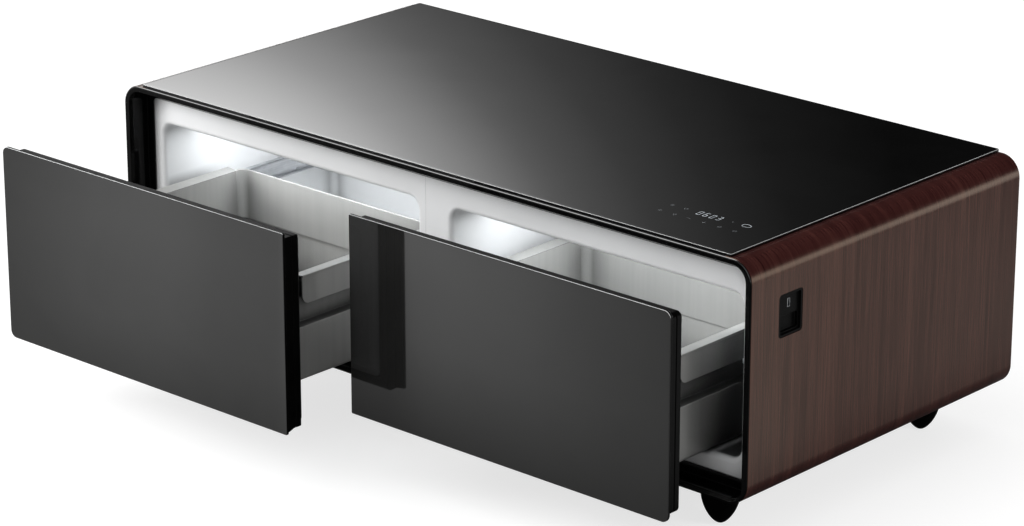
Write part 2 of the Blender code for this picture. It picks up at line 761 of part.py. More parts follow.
def evaporator(name, side, parent, surface):
    low, high = evaporator_span(side)
    bottom = evaporator_low()
    front = LINER_BACK + LINER_WALL + GAP
    back = front + EVAPORATOR_THICK
    plate = rounded(low, high, bottom, bottom + EVAPORATOR_HEIGHT, EVAPORATOR_RADIUS)
    made = loft(name, [upright(plate, front), upright(plate, back)], parent, surface)
    pitch = EVAPORATOR_HEIGHT / EVAPORATOR_RIDGES
    for index in range(EVAPORATOR_RIDGES):
        middle = bottom + pitch * (index + 0.5)
        inset = EVAPORATOR_RADIUS
        outline = rounded(
            low + inset, high - inset,
            middle - EVAPORATOR_RIDGE_WIDTH / 2, middle + EVAPORATOR_RIDGE_WIDTH / 2,
            EVAPORATOR_RIDGE_WIDTH / 3, steps=EDGE_STEPS,
        )
        root = upright(outline, back - EVAPORATOR_THICK / 2)
        crest = upright(outline, back + EVAPORATOR_RIDGE_HEIGHT)
        loops = [root, crest]
        fuse(made, loft(name + "_channel_" + str(index + 1), loops, parent, None))
    return made


def light_bar(name, side, parent, surface):
    middle = side * THROAT_MIDDLE_X
    top = THROAT_HIGH_Z - GAP
    outline = uneven(
        LIGHT_DEPTH, LIGHT_DEPTH + LIGHT_WIDTH, top - LIGHT_HEIGHT, top,
        LIGHT_HEIGHT / 4, LIGHT_HEIGHT / 4, EDGE_STEPS,
    )
    ends = (middle - LIGHT_LENGTH / 2, middle + LIGHT_LENGTH / 2)
    return loft(name, [sideways(outline, ends[0]), sideways(outline, ends[1])], parent, surface)


def liners(cabinet, looks):
    for side, word in ((-1, "left"), (1, "right")):
        liner(word + "_liner", side, cabinet, looks["liner"])
        evaporator(word + "_evaporator", side, cabinet, looks["aluminium"])
        light_bar(word + "_light_bar", side, cabinet, looks["light"])
    outline = shell_outline(SKIN)
    loops = [upright(outline, FOAM_BACK + GAP), upright(outline, BAY_FRONT)]
    loft("machine_bay_bulkhead", loops, cabinet, looks["steel"])


def charging_module(cabinet, looks):
    """Framed recess flush in the right side: a charging socket above, an empty tray below."""
    face = HALF_WIDTH - MODULE_RECESS
    inner = module_outline(MODULE_FRAME)
    loops = [
        sideways(inner, face),
        sideways(inner, HALF_WIDTH),
        sideways(module_outline(MODULE_CHAMFER), HALF_WIDTH),
        sideways(module_outline(0), HALF_WIDTH - MODULE_CHAMFER),
        sideways(module_outline(0), HALF_WIDTH - PANEL_THICK),
        sideways(module_outline(MODULE_FRAME / 2), HALF_WIDTH - PANEL_THICK),
        sideways(module_outline(MODULE_FRAME / 2), HALF_WIDTH - MODULE_BEHIND),
    ]
    frame = loft("charging_module", loops, cabinet, looks["gloss"])
    middle_y = MODULE_DEPTH + MODULE_WIDTH / 2
    socket_z = MODULE_LOW_Z + MODULE_HEIGHT * SOCKET_HEIGHT_SHARE
    room = rounded(
        middle_y - SOCKET_HEIGHT / 2 - GAP, middle_y + SOCKET_HEIGHT / 2 + GAP,
        socket_z - SOCKET_WIDTH / 2 - GAP, socket_z + SOCKET_WIDTH / 2 + GAP,
        SOCKET_SHELL, steps=EDGE_STEPS,
    )
    room = [sideways(room, depth) for depth in (face - SOCKET_DEPTH - GAP, HALF_WIDTH)]
    cut(frame, loft("socket_space", room, cabinet, None))
    usb_socket("usb_socket", middle_y, socket_z, face, cabinet, looks["steel"])
    edge = MODULE_FRAME + MODULE_WALL
    low = MODULE_LOW_Z + edge
    tray = rounded(
        MODULE_DEPTH + edge, MODULE_DEPTH + MODULE_WIDTH - edge, low, low + TRAY_HEIGHT, TRAY_RADIUS,
    )
    room = [sideways(tray, face - TRAY_DEPTH), sideways(tray, HALF_WIDTH)]
    cut(frame, loft("tray_space", room, cabinet, None))


def usb_socket(name, centre_y, centre_z, face, parent, surface):
    """Steel shell with an upright slot and its contact tongue."""
    half_a = SOCKET_HEIGHT / 2
    half_b = SOCKET_WIDTH / 2
    back = face - SOCKET_DEPTH
    mouth = face - SOCKET_SHELL

    def outline(inset):
        return rounded(
            centre_y - half_a + inset, centre_y + half_a - inset,
            centre_z - half_b + inset, centre_z + half_b - inset,
            SOCKET_SHELL - inset, steps=EDGE_STEPS,
        )

    loops = [
        sideways(outline(0), back),
        sideways(outline(0), face),
        sideways(outline(SOCKET_SHELL / 2), face),
        sideways(outline(SOCKET_SHELL / 2), back + SOCKET_SHELL),
    ]
    made = loft(name, loops, parent, surface)
    low = (back + SOCKET_SHELL / 2, centre_y - TONGUE_THICK / 2, centre_z - half_b + 2 * SOCKET_SHELL)
    high = (mouth - SOCKET_SHELL, centre_y + TONGUE_THICK / 2, centre_z + half_b - 2 * SOCKET_SHELL)
    fuse(made, block(name + "_tongue", low, high, parent, None))


def feet(cabinet, looks):
    profile = [(FOOT_BASE_RADIUS, 0)]
    for ring in range(1, FOOT_RINGS):
        rise = (ring / (FOOT_RINGS - 1)) ** 2
        bulge = (1 - (1 - rise) ** 2) ** FOOT_BULGE_SHARE
        spread = (FOOT_RADIUS - FOOT_BASE_RADIUS) * bulge
        profile.append((FOOT_BASE_RADIUS + spread, rise * FOOT_SWELL_HEIGHT))
    profile.append((FOOT_RADIUS, FOOT_HEIGHT - GAP))
    across = HALF_WIDTH - FOOT_SIDE_MARGIN
    for depth, row in ((FOOT_END_MARGIN, "front"), (BODY_DEPTH - FOOT_END_MARGIN, "rear")):
        for side, word in ((-1, "left"), (1, "right")):
            made = turned(row + "_" + word + "_foot", profile, FOOT_SIDES, cabinet, looks["plastic"])
            made.location = (side * across, depth, 0)


def grille_outline(middle, grow):
    return rounded(
        middle - GRILLE_WIDTH / 2 - grow, middle + GRILLE_WIDTH / 2 + grow,
        GRILLE_LOW_Z - grow, GRILLE_LOW_Z + GRILLE_HEIGHT + grow, GRILLE_RADIUS + grow,
    )


def grille(name, middle, parent, surface):
    """Louvred insert: a flanged plate whose slots lean down towards the outside."""
    out = BACK_FACE + GAP
    loops = [
        upright(grille_outline(middle, 0), BACK_FACE - GRILLE_THICK),
        upright(grille_outline(middle, 0), out),
        upright(grille_outline(middle, GRILLE_FLANGE), out),
        upright(grille_outline(middle, GRILLE_FLANGE), out + GRILLE_FLANGE_THICK / 2),
        upright(grille_outline(middle, GRILLE_FLANGE - GRILLE_FLANGE_THICK / 2), out + GRILLE_FLANGE_THICK),
    ]
    made = loft(name, loops, parent, surface)
    pitch = (GRILLE_HEIGHT - GRILLE_SLOT_END) / GRILLE_SLOTS
    tall = pitch * GRILLE_SLOT_SHARE
    reach = GRILLE_THICK + CUT_OVERRUN * 2
    lean = reach * GRILLE_LEAN_SHARE
    near = BACK_FACE - GRILLE_THICK - CUT_OVERRUN
    far = BACK_FACE + GRILLE_FLANGE_THICK + CUT_OVERRUN
    slots = bmesh.new()
    for row in range(GRILLE_SLOTS):
        low = GRILLE_LOW_Z + GRILLE_SLOT_END / 2 + pitch * (row + (1 - GRILLE_SLOT_SHARE) / 2)
        for half in (-1, 1):
            start = middle + half * GRILLE_MULLION / 2
            end = middle + half * (GRILLE_WIDTH / 2 - GRILLE_SLOT_END)
            corners = []
            for depth, rise in ((near, lean / 2), (far, -lean / 2)):
                for across, height in ((start, low), (end, low), (end, low + tall), (start, low + tall)):
                    corners.append(slots.verts.new((across, depth, height + rise)))
            for face in ((0, 1, 2, 3), (7, 6, 5, 4), (0, 4, 5, 1), (1, 5, 6, 2), (2, 6, 7, 3), (3, 7, 4, 0)):
                slots.faces.new([corners[index] for index in face])
    cut(made, finish(name + "_slots", slots, parent, None, smooth=False))
    return made


def inlet_outline(inset):
    return rounded(
        INLET_X - INLET_WIDTH / 2 + inset, INLET_X + INLET_WIDTH / 2 - inset,
        INLET_Z - INLET_HEIGHT / 2 + inset, INLET_Z + INLET_HEIGHT / 2 - inset,
        INLET_RADIUS - inset, steps=EDGE_STEPS,
    )


def mains_inlet(cabinet, looks):
    """Appliance inlet: flanged body with a recess and three flat pins."""
    out = BACK_FACE + GAP
    proud = out + INLET_FLANGE_THICK
    floor = proud - INLET_RECESS
    loops = [
        upright(inlet_outline(INLET_RIM), floor),
        upright(inlet_outline(INLET_RIM), proud),
        upright(inlet_outline(-INLET_FLANGE), proud),
        upright(inlet_outline(-INLET_FLANGE), out),
        upright(inlet_outline(0), out),
        upright(inlet_outline(0), BACK_FACE - INLET_BODY),
    ]
    made = loft("mains_inlet", loops, cabinet, looks["plastic"])
    for index in range(3):
        across = INLET_X + (index - 1) * INLET_PIN_SPACING
        rise = INLET_PIN_WIDTH / 2 * (1 if index == 1 else -1)
        low = (across - INLET_PIN_THICK / 2, floor - INLET_RIM, INLET_Z + rise - INLET_PIN_WIDTH / 2)
        high = (across + INLET_PIN_THICK / 2, floor + INLET_PIN_LENGTH, INLET_Z + rise + INLET_PIN_WIDTH / 2)
        fuse(made, block("inlet_pin_" + str(index + 1), low, high, cabinet, None))


def back_panel(cabinet, looks):
    outline = shell_outline(SKIN)
    panel_depths = (BACK_INSIDE, BACK_FACE)
    made = loft("back_panel", [upright(outline, depth) for depth in panel_depths], cabinet, looks["painted"])
    through = (BACK_INSIDE - CUT_OVERRUN, BACK_FACE + CUT_OVERRUN)
    for side, word in ((-1, "intake"), (1, "exhaust")):
        middle = side * GRILLE_X
        hole = grille_outline(middle, GAP)
        cut(made, loft(word + "_window", [upright(hole, depth) for depth in through], cabinet, None))
        grille(word + "_grille", middle, cabinet, looks["plastic"])
    hole = inlet_outline(-GAP)
    cut(made, loft("inlet_window", [upright(hole, depth) for depth in through], cabinet, None))
    mains_inlet(cabinet, looks)


def compressor(cabinet, looks):
    """Welded can on a mounting plate with four grommets, its terminal cover and two pipe stubs."""
    base = FLOOR_TOP + GAP
    plate_low = base + COMPRESSOR_GROMMET
    plate_high = plate_low + COMPRESSOR_PLATE_THICK
    can_low = plate_high + COMPRESSOR_CLEARANCE
    can_high = can_low + COMPRESSOR_HEIGHT
    seam_z = (can_low + can_high) / 2
    profile = []
    steps = CORNER_STEPS
    dome = COMPRESSOR_RADIUS * COMPRESSOR_DOME_SHARE
    for step in range(steps + 1):
        angle = math.radians(90 * step / steps)
        radius = COMPRESSOR_RADIUS - dome + dome * math.sin(angle)
        profile.append((radius, can_low + dome * (1 - math.cos(angle))))
    half = COMPRESSOR_SEAM_HEIGHT / 2
    profile += [
        (COMPRESSOR_RADIUS, seam_z - half),
        (COMPRESSOR_RADIUS + COMPRESSOR_SEAM, seam_z - half),
        (COMPRESSOR_RADIUS + COMPRESSOR_SEAM, seam_z + half),
        (COMPRESSOR_RADIUS, seam_z + half),
    ]
    for step in range(steps + 1):
        angle = math.radians(90 * step / steps)
        radius = COMPRESSOR_RADIUS - dome + dome * math.cos(angle)
        profile.append((radius, can_high - dome * (1 - math.sin(angle))))
    made = turned("compressor", profile, COMPRESSOR_SIDES, cabinet, looks["painted"])
    made.location = (COMPRESSOR_X, COMPRESSOR_DEPTH, 0)

    half_x = COMPRESSOR_PLATE_WIDTH / 2
    half_y = COMPRESSOR_PLATE_DEPTH / 2
    plate = rounded(
        COMPRESSOR_X - half_x, COMPRESSOR_X + half_x,
        COMPRESSOR_DEPTH - half_y, COMPRESSOR_DEPTH + half_y, COMPRESSOR_GROMMET,
    )
    fuse(made, loft("compressor_plate", [level(plate, plate_low), level(plate, plate_high)], cabinet, None))
    pedestal = COMPRESSOR_RADIUS * COMPRESSOR_STAND_SHARE
    stand = [(pedestal, plate_low + COMPRESSOR_PLATE_THICK / 2), (pedestal, can_low + dome)]
    stand = turned("compressor_stand", stand, COMPRESSOR_SIDES, cabinet, None)
    stand.location = (COMPRESSOR_X, COMPRESSOR_DEPTH, 0)
    fuse(made, stand)
    for across in (-1, 1):
        for along in (-1, 1):
            profile = [(COMPRESSOR_GROMMET, base), (COMPRESSOR_GROMMET, plate_high + COMPRESSOR_GROMMET / 2)]
            grommet = turned("grommet", profile, DRIER_SIDES, cabinet, None)
            grommet.location = (
                COMPRESSOR_X + across * (half_x - COMPRESSOR_GROMMET * GROMMET_PLACE_SHARE),
                COMPRESSOR_DEPTH + along * (half_y - COMPRESSOR_GROMMET * GROMMET_PLACE_SHARE),
                0,
            )
            fuse(made, grommet)
    box_x = COMPRESSOR_X - COMPRESSOR_RADIUS
    low = (box_x - COMPRESSOR_TERMINAL_DEPTH, COMPRESSOR_DEPTH - COMPRESSOR_TERMINAL_WIDTH / 2, seam_z + half)
    high = (
        box_x + COMPRESSOR_TERMINAL_DEPTH,
        COMPRESSOR_DEPTH + COMPRESSOR_TERMINAL_WIDTH / 2,
        seam_z + half + COMPRESSOR_TERMINAL_HEIGHT,
    )
    fuse(made, block("terminal_cover", low, high, cabinet, None))
    for angle in stub_angles():
        stub = turned("pipe_stub", stub_profile(), DRIER_SIDES, cabinet, None, axis="X")
        stub.rotation_euler = (0, 0, angle)
        stub.location = (COMPRESSOR_X, COMPRESSOR_DEPTH, stub_height())
        fuse(made, stub)


def stub_angles():
    """Angle round the can of the discharge stub and of the suction stub."""
    return (0.0, math.radians(SUCTION_STUB_ANGLE))


def stub_profile():
    return [
        (COMPRESSOR_STUB_RADIUS, COMPRESSOR_RADIUS * STUB_ROOT_SHARE),
        (COMPRESSOR_STUB_RADIUS, COMPRESSOR_RADIUS + COMPRESSOR_STUB_LENGTH),
    ]


def stub_height():
    plate_high = FLOOR_TOP + GAP + COMPRESSOR_GROMMET + COMPRESSOR_PLATE_THICK
    return plate_high + COMPRESSOR_CLEARANCE + COMPRESSOR_HEIGHT * COMPRESSOR_STUB_SHARE


def stub_tip(index):
    reach = COMPRESSOR_RADIUS + COMPRESSOR_STUB_LENGTH + GAP
    angle = stub_angles()[index]
    return Vector((
        COMPRESSOR_X + reach * math.cos(angle),
        COMPRESSOR_DEPTH + reach * math.sin(angle),
        stub_height(),
    ))


def condenser(cabinet, looks):
    """Flat tubes between two headers, standing on two short feet."""
    low_x = CONDENSER_X - CONDENSER_WIDTH / 2
    high_x = CONDENSER_X + CONDENSER_WIDTH / 2
    low_z = FLOOR_TOP + GAP + CONDENSER_FOOT
    high_z = low_z + CONDENSER_HEIGHT
    near = CONDENSER_DEPTH - CONDENSER_THICK / 2
    far = CONDENSER_DEPTH + CONDENSER_THICK / 2
    pitch = CONDENSER_HEIGHT / CONDENSER_TUBES
    outline = [(low_x, low_z), (high_x, low_z), (high_x, high_z), (low_x, high_z)]
    made = loft("condenser", [upright(outline, near), upright(outline, far)], cabinet, looks["aluminium"])
    slots = bmesh.new()
    for index in range(CONDENSER_TUBES - 1):
        low = low_z + pitch * (index + CONDENSER_TUBE_SHARE + (1 - CONDENSER_TUBE_SHARE) / 2)
        high = low + pitch * (1 - CONDENSER_TUBE_SHARE)
        box = (
            (low_x + CONDENSER_HEADER, low), (high_x - CONDENSER_HEADER, low),
            (high_x - CONDENSER_HEADER, high), (low_x + CONDENSER_HEADER, high),
        )
        corners = [slots.verts.new((a, near - CUT_OVERRUN, b)) for a, b in box]
        corners += [slots.verts.new((a, far + CUT_OVERRUN, b)) for a, b in box]
        for face in ((0, 1, 2, 3), (7, 6, 5, 4), (0, 4, 5, 1), (1, 5, 6, 2), (2, 6, 7, 3), (3, 7, 4, 0)):
            slots.faces.new([corners[number] for number in face])
    cut(made, finish("condenser_gaps", slots, cabinet, None, smooth=False))
    for across in (low_x, high_x - CONDENSER_HEADER):
        low = (across, near + CONDENSER_FOOT, FLOOR_TOP + GAP)
        high = (across + CONDENSER_HEADER, far - CONDENSER_FOOT, low_z + CONDENSER_FOOT)
        fuse(made, block("condenser_foot", low, high, cabinet, None))


def fan_centre():
    near = CONDENSER_DEPTH + CONDENSER_THICK / 2 + GAP
    height = FLOOR_TOP + GAP + CONDENSER_FOOT + CONDENSER_HEIGHT / 2
    return Vector((CONDENSER_X, near, height))


def condenser_fan(cabinet, looks):
    """Shroud on the condenser, a motor held by its cross arms, and a bladed rotor in front of it."""
    centre = fan_centre()
    bore = FAN_RADIUS + FAN_TIP_GAP
    half = bore + FAN_RIM
    outline = rounded(centre.x - half, centre.x + half, centre.z - half, centre.z + half, FAN_RIM)
    loops = [upright(outline, centre.y), upright(outline, centre.y + FAN_SHROUD_DEPTH)]
    shroud = loft("condenser_fan_shroud", loops, cabinet, looks["plastic"])
    hole = turned(
        "fan_bore", [(bore, -CUT_OVERRUN), (bore, FAN_SHROUD_DEPTH + CUT_OVERRUN)],
        FAN_SIDES, cabinet, None, axis="Y",
    )
    hole.location = centre
    cut(shroud, hole)

    back = FAN_SHROUD_DEPTH + GAP
    motor = turned(
        "condenser_fan_motor",
        [
            (FAN_MOTOR_RADIUS * FAN_ROUND_SHARE, back), (FAN_MOTOR_RADIUS, back + FAN_ARM_THICK),
            (FAN_MOTOR_RADIUS, back + FAN_MOTOR_DEPTH - FAN_ARM_THICK),
            (FAN_MOTOR_RADIUS * FAN_ROUND_SHARE, back + FAN_MOTOR_DEPTH),
        ],
        DRIER_SIDES, cabinet, looks["painted"], axis="Y",
    )
    motor.location = centre
    arm = half - FAN_RIM / 4
    for lean in (0, math.radians(90)):
        low = (-arm, back, -FAN_ARM_WIDTH / 2)
        high = (arm, back + FAN_ARM_THICK, FAN_ARM_WIDTH / 2)
        strut = block("fan_arm", low, high, cabinet, None)
        strut.rotation_euler = (0, lean, 0)
        strut.location = centre
        fuse(motor, strut)
    low_y = back - FAN_SHAFT_LENGTH
    shaft = turned(
        "fan_shaft", [(FAN_SHAFT_RADIUS, low_y), (FAN_SHAFT_RADIUS, back + FAN_ARM_THICK)],
        DRIER_SIDES, cabinet, None, axis="Y",
    )
    shaft.location = centre
    fuse(motor, shaft)

    axle = group("condenser_fan_axis", centre, cabinet)
    hub_back = back - GAP - FAN_ARM_THICK
    hub_front = hub_back - FAN_HUB_DEPTH
    bore_radius = FAN_SHAFT_RADIUS + GAP
    rotor = turned(
        "condenser_fan_rotor",
        [
            (FAN_HUB_RADIUS * FAN_ROUND_SHARE, hub_front), (FAN_HUB_RADIUS, hub_front + FAN_BLADE_THICK),
            (FAN_HUB_RADIUS, hub_back), (bore_radius, hub_back), (bore_radius, low_y - GAP),
        ],
        DRIER_SIDES, axle, looks["plastic"], axis="Y",
    )
    middle = (hub_front + hub_back) / 2
    for index in range(FAN_BLADES):
        blade = fan_blade("fan_blade_" + str(index + 1), middle, axle)
        blade.rotation_euler = (0, 2 * math.pi * index / FAN_BLADES, 0)
        fuse(rotor, blade)


def fan_blade(name, middle, parent):
    """One twisted blade, thin across, wider at its tip than at its root."""
    loops = []
    root = FAN_HUB_RADIUS * FAN_ROUND_SHARE
    for step in range(CORNER_STEPS):
        share = step / (CORNER_STEPS - 1)
        radius = root + (FAN_RADIUS - root) * share
        chord = FAN_BLADE_ROOT + (FAN_BLADE_TIP - FAN_BLADE_ROOT) * share
        lean = FAN_BLADE_LEAN * (1 - share / 2)
        thick = FAN_BLADE_THICK / 2
        loops.append([
            (radius, middle - lean / 2 - thick, -chord / 2),
            (radius, middle + lean / 2 - thick, chord / 2),
            (radius, middle + lean / 2 + thick, chord / 2),
            (radius, middle - lean / 2 + thick, -chord / 2),
        ])
    return loft(name, loops, parent, None)


def pipe(name, points, radius, parent, surface):
    curve = bpy.data.curves.new(name, "CURVE")
    curve.dimensions = "3D"
    curve.bevel_depth = radius
    curve.bevel_resolution = 2
    curve.use_fill_caps = True
    spline = curve.splines.new("POLY")
    spline.points.add(len(points) - 1)
    for target, point in zip(spline.points, points):
        target.co = (*point, 1.0)
    curve.materials.append(surface)
    made = bpy.data.objects.new(name, curve)
    made.parent = parent
    bpy.context.scene.collection.objects.link(made)
    return made


def smooth_route(knots, per_span):
    """Points of a Catmull-Rom curve through the knots, straight in its first and last span."""
    points = [knots[0]]
    for index in range(1, len(knots) - 2):
        before, start, end, after = knots[index - 1:index + 3]
        for step in range(per_span):
            share = step / per_span
            points.append(
                0.5 * (
                    2 * start + (end - before) * share
                    + (2 * before - 5 * start + 4 * end - after) * share ** 2
                    + (3 * start - before - 3 * end + after) * share ** 3
                )
            )
    return points + [knots[-2], knots[-1]]


def plant_pipes(cabinet, looks):
    """Discharge pipe to the condenser, filter drier beside it, suction pipe to the bulkhead."""
    height = stub_height()
    side = CONDENSER_X - CONDENSER_WIDTH / 2 - GAP
    inlet = Vector((side, CONDENSER_DEPTH, height))
    start = stub_tip(0)
    span = inlet - start
    rise = COMPRESSOR_STUB_LENGTH
    knots = [
        start,
        start + Vector((rise, 0, 0)),
        start + span * PIPE_BEND_SHARE + Vector((0, rise, rise)),
        inlet - span * PIPE_BEND_SHARE + Vector((0, rise, -rise)),
        inlet - Vector((rise, 0, 0)),
        inlet,
    ]
    pipe("discharge_pipe", smooth_route(knots, CORNER_STEPS), PIPE_RADIUS, cabinet, looks["copper"])

    start = stub_tip(1)
    away = Vector((math.cos(stub_angles()[1]), math.sin(stub_angles()[1]), 0))
    end = Vector((start.x + rise * 2, BAY_FRONT + GAP, height + rise * 4))
    knots = [
        start,
        start + away * rise,
        Vector((end.x, start.y - rise / 2, height + rise)),
        end + Vector((0, rise, 0)),
        end,
    ]
    pipe("suction_pipe", smooth_route(knots, CORNER_STEPS), SUCTION_RADIUS, cabinet, looks["copper"])

    half = DRIER_LENGTH / 2
    shoulder = half - DRIER_RADIUS / 2
    drier = turned(
        "filter_drier",
        [
            (DRIER_NECK_RADIUS, -half - DRIER_NECK_LENGTH), (DRIER_NECK_RADIUS, -half),
            (DRIER_RADIUS, -shoulder), (DRIER_RADIUS, shoulder),
            (DRIER_NECK_RADIUS, half), (DRIER_NECK_RADIUS, half + DRIER_NECK_LENGTH),
        ],
        DRIER_SIDES, cabinet, looks["copper"], axis="X",
    )
    outlet_z = FLOOR_TOP + GAP + CONDENSER_FOOT + CONDENSER_HEIGHT * DRIER_PLACE_SHARE
    drier.location = (side - half - DRIER_NECK_LENGTH, CONDENSER_DEPTH, outlet_z)


def control_box(cabinet, looks):
    """Ribbed box on the bulkhead that holds the main board."""
    low_x = CONTROL_BOX_OFFSET - CONTROL_BOX_WIDTH / 2
    high_x = CONTROL_BOX_OFFSET + CONTROL_BOX_WIDTH / 2
    high_z = CONTROL_BOX_LOW_Z + CONTROL_BOX_HEIGHT
    near = BAY_FRONT + GAP
    far = near + CONTROL_BOX_DEPTH

    def outline(inset):
        return rounded(
            low_x + inset, high_x - inset,
            CONTROL_BOX_LOW_Z + inset, high_z - inset, CONTROL_BOX_RADIUS,
        )

    loops = [
        upright(outline(CONTROL_BOX_LID / 2), near),
        upright(outline(CONTROL_BOX_LID / 2), far - CONTROL_BOX_LID * 2),
        upright(outline(0), far - CONTROL_BOX_LID * 2),
        upright(outline(0), far - CONTROL_BOX_LID),
        upright(outline(CONTROL_BOX_LID), far),
    ]
    made = loft("control_box", loops, cabinet, looks["plastic"])
    pitch = CONTROL_BOX_WIDTH / (CONTROL_BOX_RIBS + 1)
    for index in range(CONTROL_BOX_RIBS):
        across = low_x + pitch * (index + 1)
        half = CONTROL_BOX_RIB / 2
        ends = CONTROL_BOX_RADIUS * 2
        low = (across - half, far - CONTROL_BOX_LID, CONTROL_BOX_LOW_Z + ends)
        high = (across + half, far + CONTROL_BOX_RIB, high_z - ends)
        fuse(made, block("control_box_rib_" + str(index + 1), low, high, cabinet, None))


def mirrored(points, side):
    return [(side * a, b) for a, b in points]


def front_outline(side, inset):
    """Outline of a drawer front: round corners outside, square ones at the middle."""
    return mirrored(
        uneven(
            FRONT_INNER_X + inset, FRONT_OUTER_X - inset, FRONT_LOW_Z + inset, FRONT_HIGH_Z - inset,
            FRONT_CORNER - inset, FRONT_SQUARE_CORNER,
        ),
        side,
    )


def door_outline(side, inset, raise_low=0.0):
    return mirrored(
        uneven(
            DOOR_INNER_X + inset, DOOR_OUTER_X - inset, DOOR_LOW_Z + inset + raise_low, DOOR_HIGH_Z - inset,
            DOOR_CORNER - inset, FRONT_SQUARE_CORNER,
        ),
        side,
    )


def drawer_front(word, side, carriage, looks):
    chamfer = GLASS_CHAMFER
    loops = [
        upright(front_outline(side, chamfer / 2), FRONT_GLASS_THICK),
        upright(front_outline(side, 0), FRONT_GLASS_THICK - chamfer / 2),
        upright(front_outline(side, 0), chamfer),
        upright(front_outline(side, chamfer), 0),
    ]
    loft(word + "_drawer_glass", loops, carriage, looks["tinted"])

    near = FRONT_GLASS_THICK + GAP
    groove = DOOR_GROOVE_DEPTH
    half = DOOR_GROOVE_WIDTH / 2
    lower = -DOOR_SCOOP * DOOR_FACE_SHARE
    loops = [
        upright(door_outline(side, 0, lower), near),
        upright(door_outline(side, 0, lower), near + DOOR_EDGE),
        upright(door_outline(side, 0, lower * DOOR_TAPER_SHARE), DOOR_SCOOP_DEPTH - DOOR_EDGE / 2),
        upright(door_outline(side, 0), DOOR_SCOOP_DEPTH),
        upright(door_outline(side, 0), groove - half),
        upright(door_outline(side, DOOR_GROOVE_CUT), groove - half),
        upright(door_outline(side, DOOR_GROOVE_CUT), groove + half),
        upright(door_outline(side, 0), groove + half),
        upright(door_outline(side, 0), DOOR_DEPTH - DOOR_EDGE),
        upright(door_outline(side, DOOR_EDGE * BEND_SHARE), DOOR_DEPTH - DOOR_EDGE * BEND_SHARE),
        upright(door_outline(side, DOOR_EDGE), DOOR_DEPTH),
    ]
    loft(word + "_door_body", loops, carriage, looks["gloss"])

    back = DOOR_DEPTH + GAP
    crest = FLANGE_FRONT - GAP
    lean = GASKET_WIDTH * GASKET_CREST_SHARE / 2
    inset = DOOR_EDGE + GASKET_INSET
    loops = [
        upright(door_outline(side, inset), back),
        upright(door_outline(side, inset), (back + crest) / 2),
        upright(door_outline(side, inset + lean), crest),
        upright(plug_outline(side, GASKET_WIDTH - lean, inset), crest),
        upright(plug_outline(side, GASKET_WIDTH, inset), (back + crest) / 2),
        upright(plug_outline(side, GASKET_WIDTH, inset), back),
    ]
    loft(word + "_door_gasket", loops, carriage, looks["rubber"], ring=True)

    edge = GASKET_WIDTH + GAP * 2
    top = back + LINER_PLUG_DEPTH
    round_corner = LINER_PLUG_RADIUS
    loops = [
        upright(plug_outline(side, edge, inset, round_corner), back),
        upright(plug_outline(side, edge, inset, round_corner), back + FLANGE_THICK),
        upright(plug_outline(side, edge + LINER_PLUG_EDGE, inset, round_corner), top - LINER_PLUG_SLOPE),
        upright(plug_outline(side, edge + LINER_PLUG_EDGE + LINER_PLUG_SLOPE, inset, round_corner), top),
    ]
    loft(word + "_door_inner_panel", loops, carriage, looks["liner"])


def plug_outline(side, grow, inset, corner=FRONT_SQUARE_CORNER):
    total = grow + inset
    return mirrored(
        uneven(
            DOOR_INNER_X + total, DOOR_OUTER_X - total, DOOR_LOW_Z + total, DOOR_HIGH_Z - total,
            corner, corner,
        ),
        side,
    )


def basket(word, side, carriage, looks):
    """Stepped tub: wide below, drawn in above for the slides, with a skirt that hides them."""
    middle = side * BASKET_MIDDLE_X
    wall = BASKET_WALL

    def outline(half, end_inset, corner):
        return rounded(
            middle - half, middle + half,
            BASKET_FRONT + end_inset, BASKET_BACK - end_inset, corner,
        )

    low = BASKET_LOW_Z
    floor = low + wall
    step = BASKET_STEP_Z
    top = BASKET_HIGH_Z
    end = BASKET_SHELF_END
    bend = BASKET_FLOOR_RADIUS
    turn = bend * BEND_SHARE
    corner = BASKET_CORNER
    loops = [
        level(outline(BASKET_HALF - wall - bend, wall + bend, corner), floor),
        level(outline(BASKET_HALF - wall - turn, wall + turn, corner), floor + turn),
        level(outline(BASKET_HALF - wall, wall, corner), floor + bend),
        level(outline(BASKET_HALF - wall, wall, corner), step - wall),
        level(outline(UPPER_HALF - wall, wall + end, corner), step - wall),
        level(outline(UPPER_HALF - wall, wall + end, corner), top),
        level(outline(UPPER_HALF, end - BASKET_BEAD, corner), top),
        level(outline(UPPER_HALF, end - BASKET_BEAD, corner), top - BASKET_BEAD_HEIGHT),
        level(outline(UPPER_HALF, end, corner), top - BASKET_BEAD_HEIGHT - BASKET_BEAD),
        level(outline(UPPER_HALF, end, corner), step),
        level(outline(BASKET_HALF, 0, corner), step),
        level(outline(BASKET_HALF, 0, corner), low + bend),
        level(outline(BASKET_HALF - turn, turn, corner), low + turn),
        level(outline(BASKET_HALF - bend, bend, corner), low),
    ]
    made = loft(word + "_basket", loops, carriage, looks["basket"])
    for hand in (-1, 1):
        fuse(made, hanging_skirt(word, middle, hand, carriage))
    return made


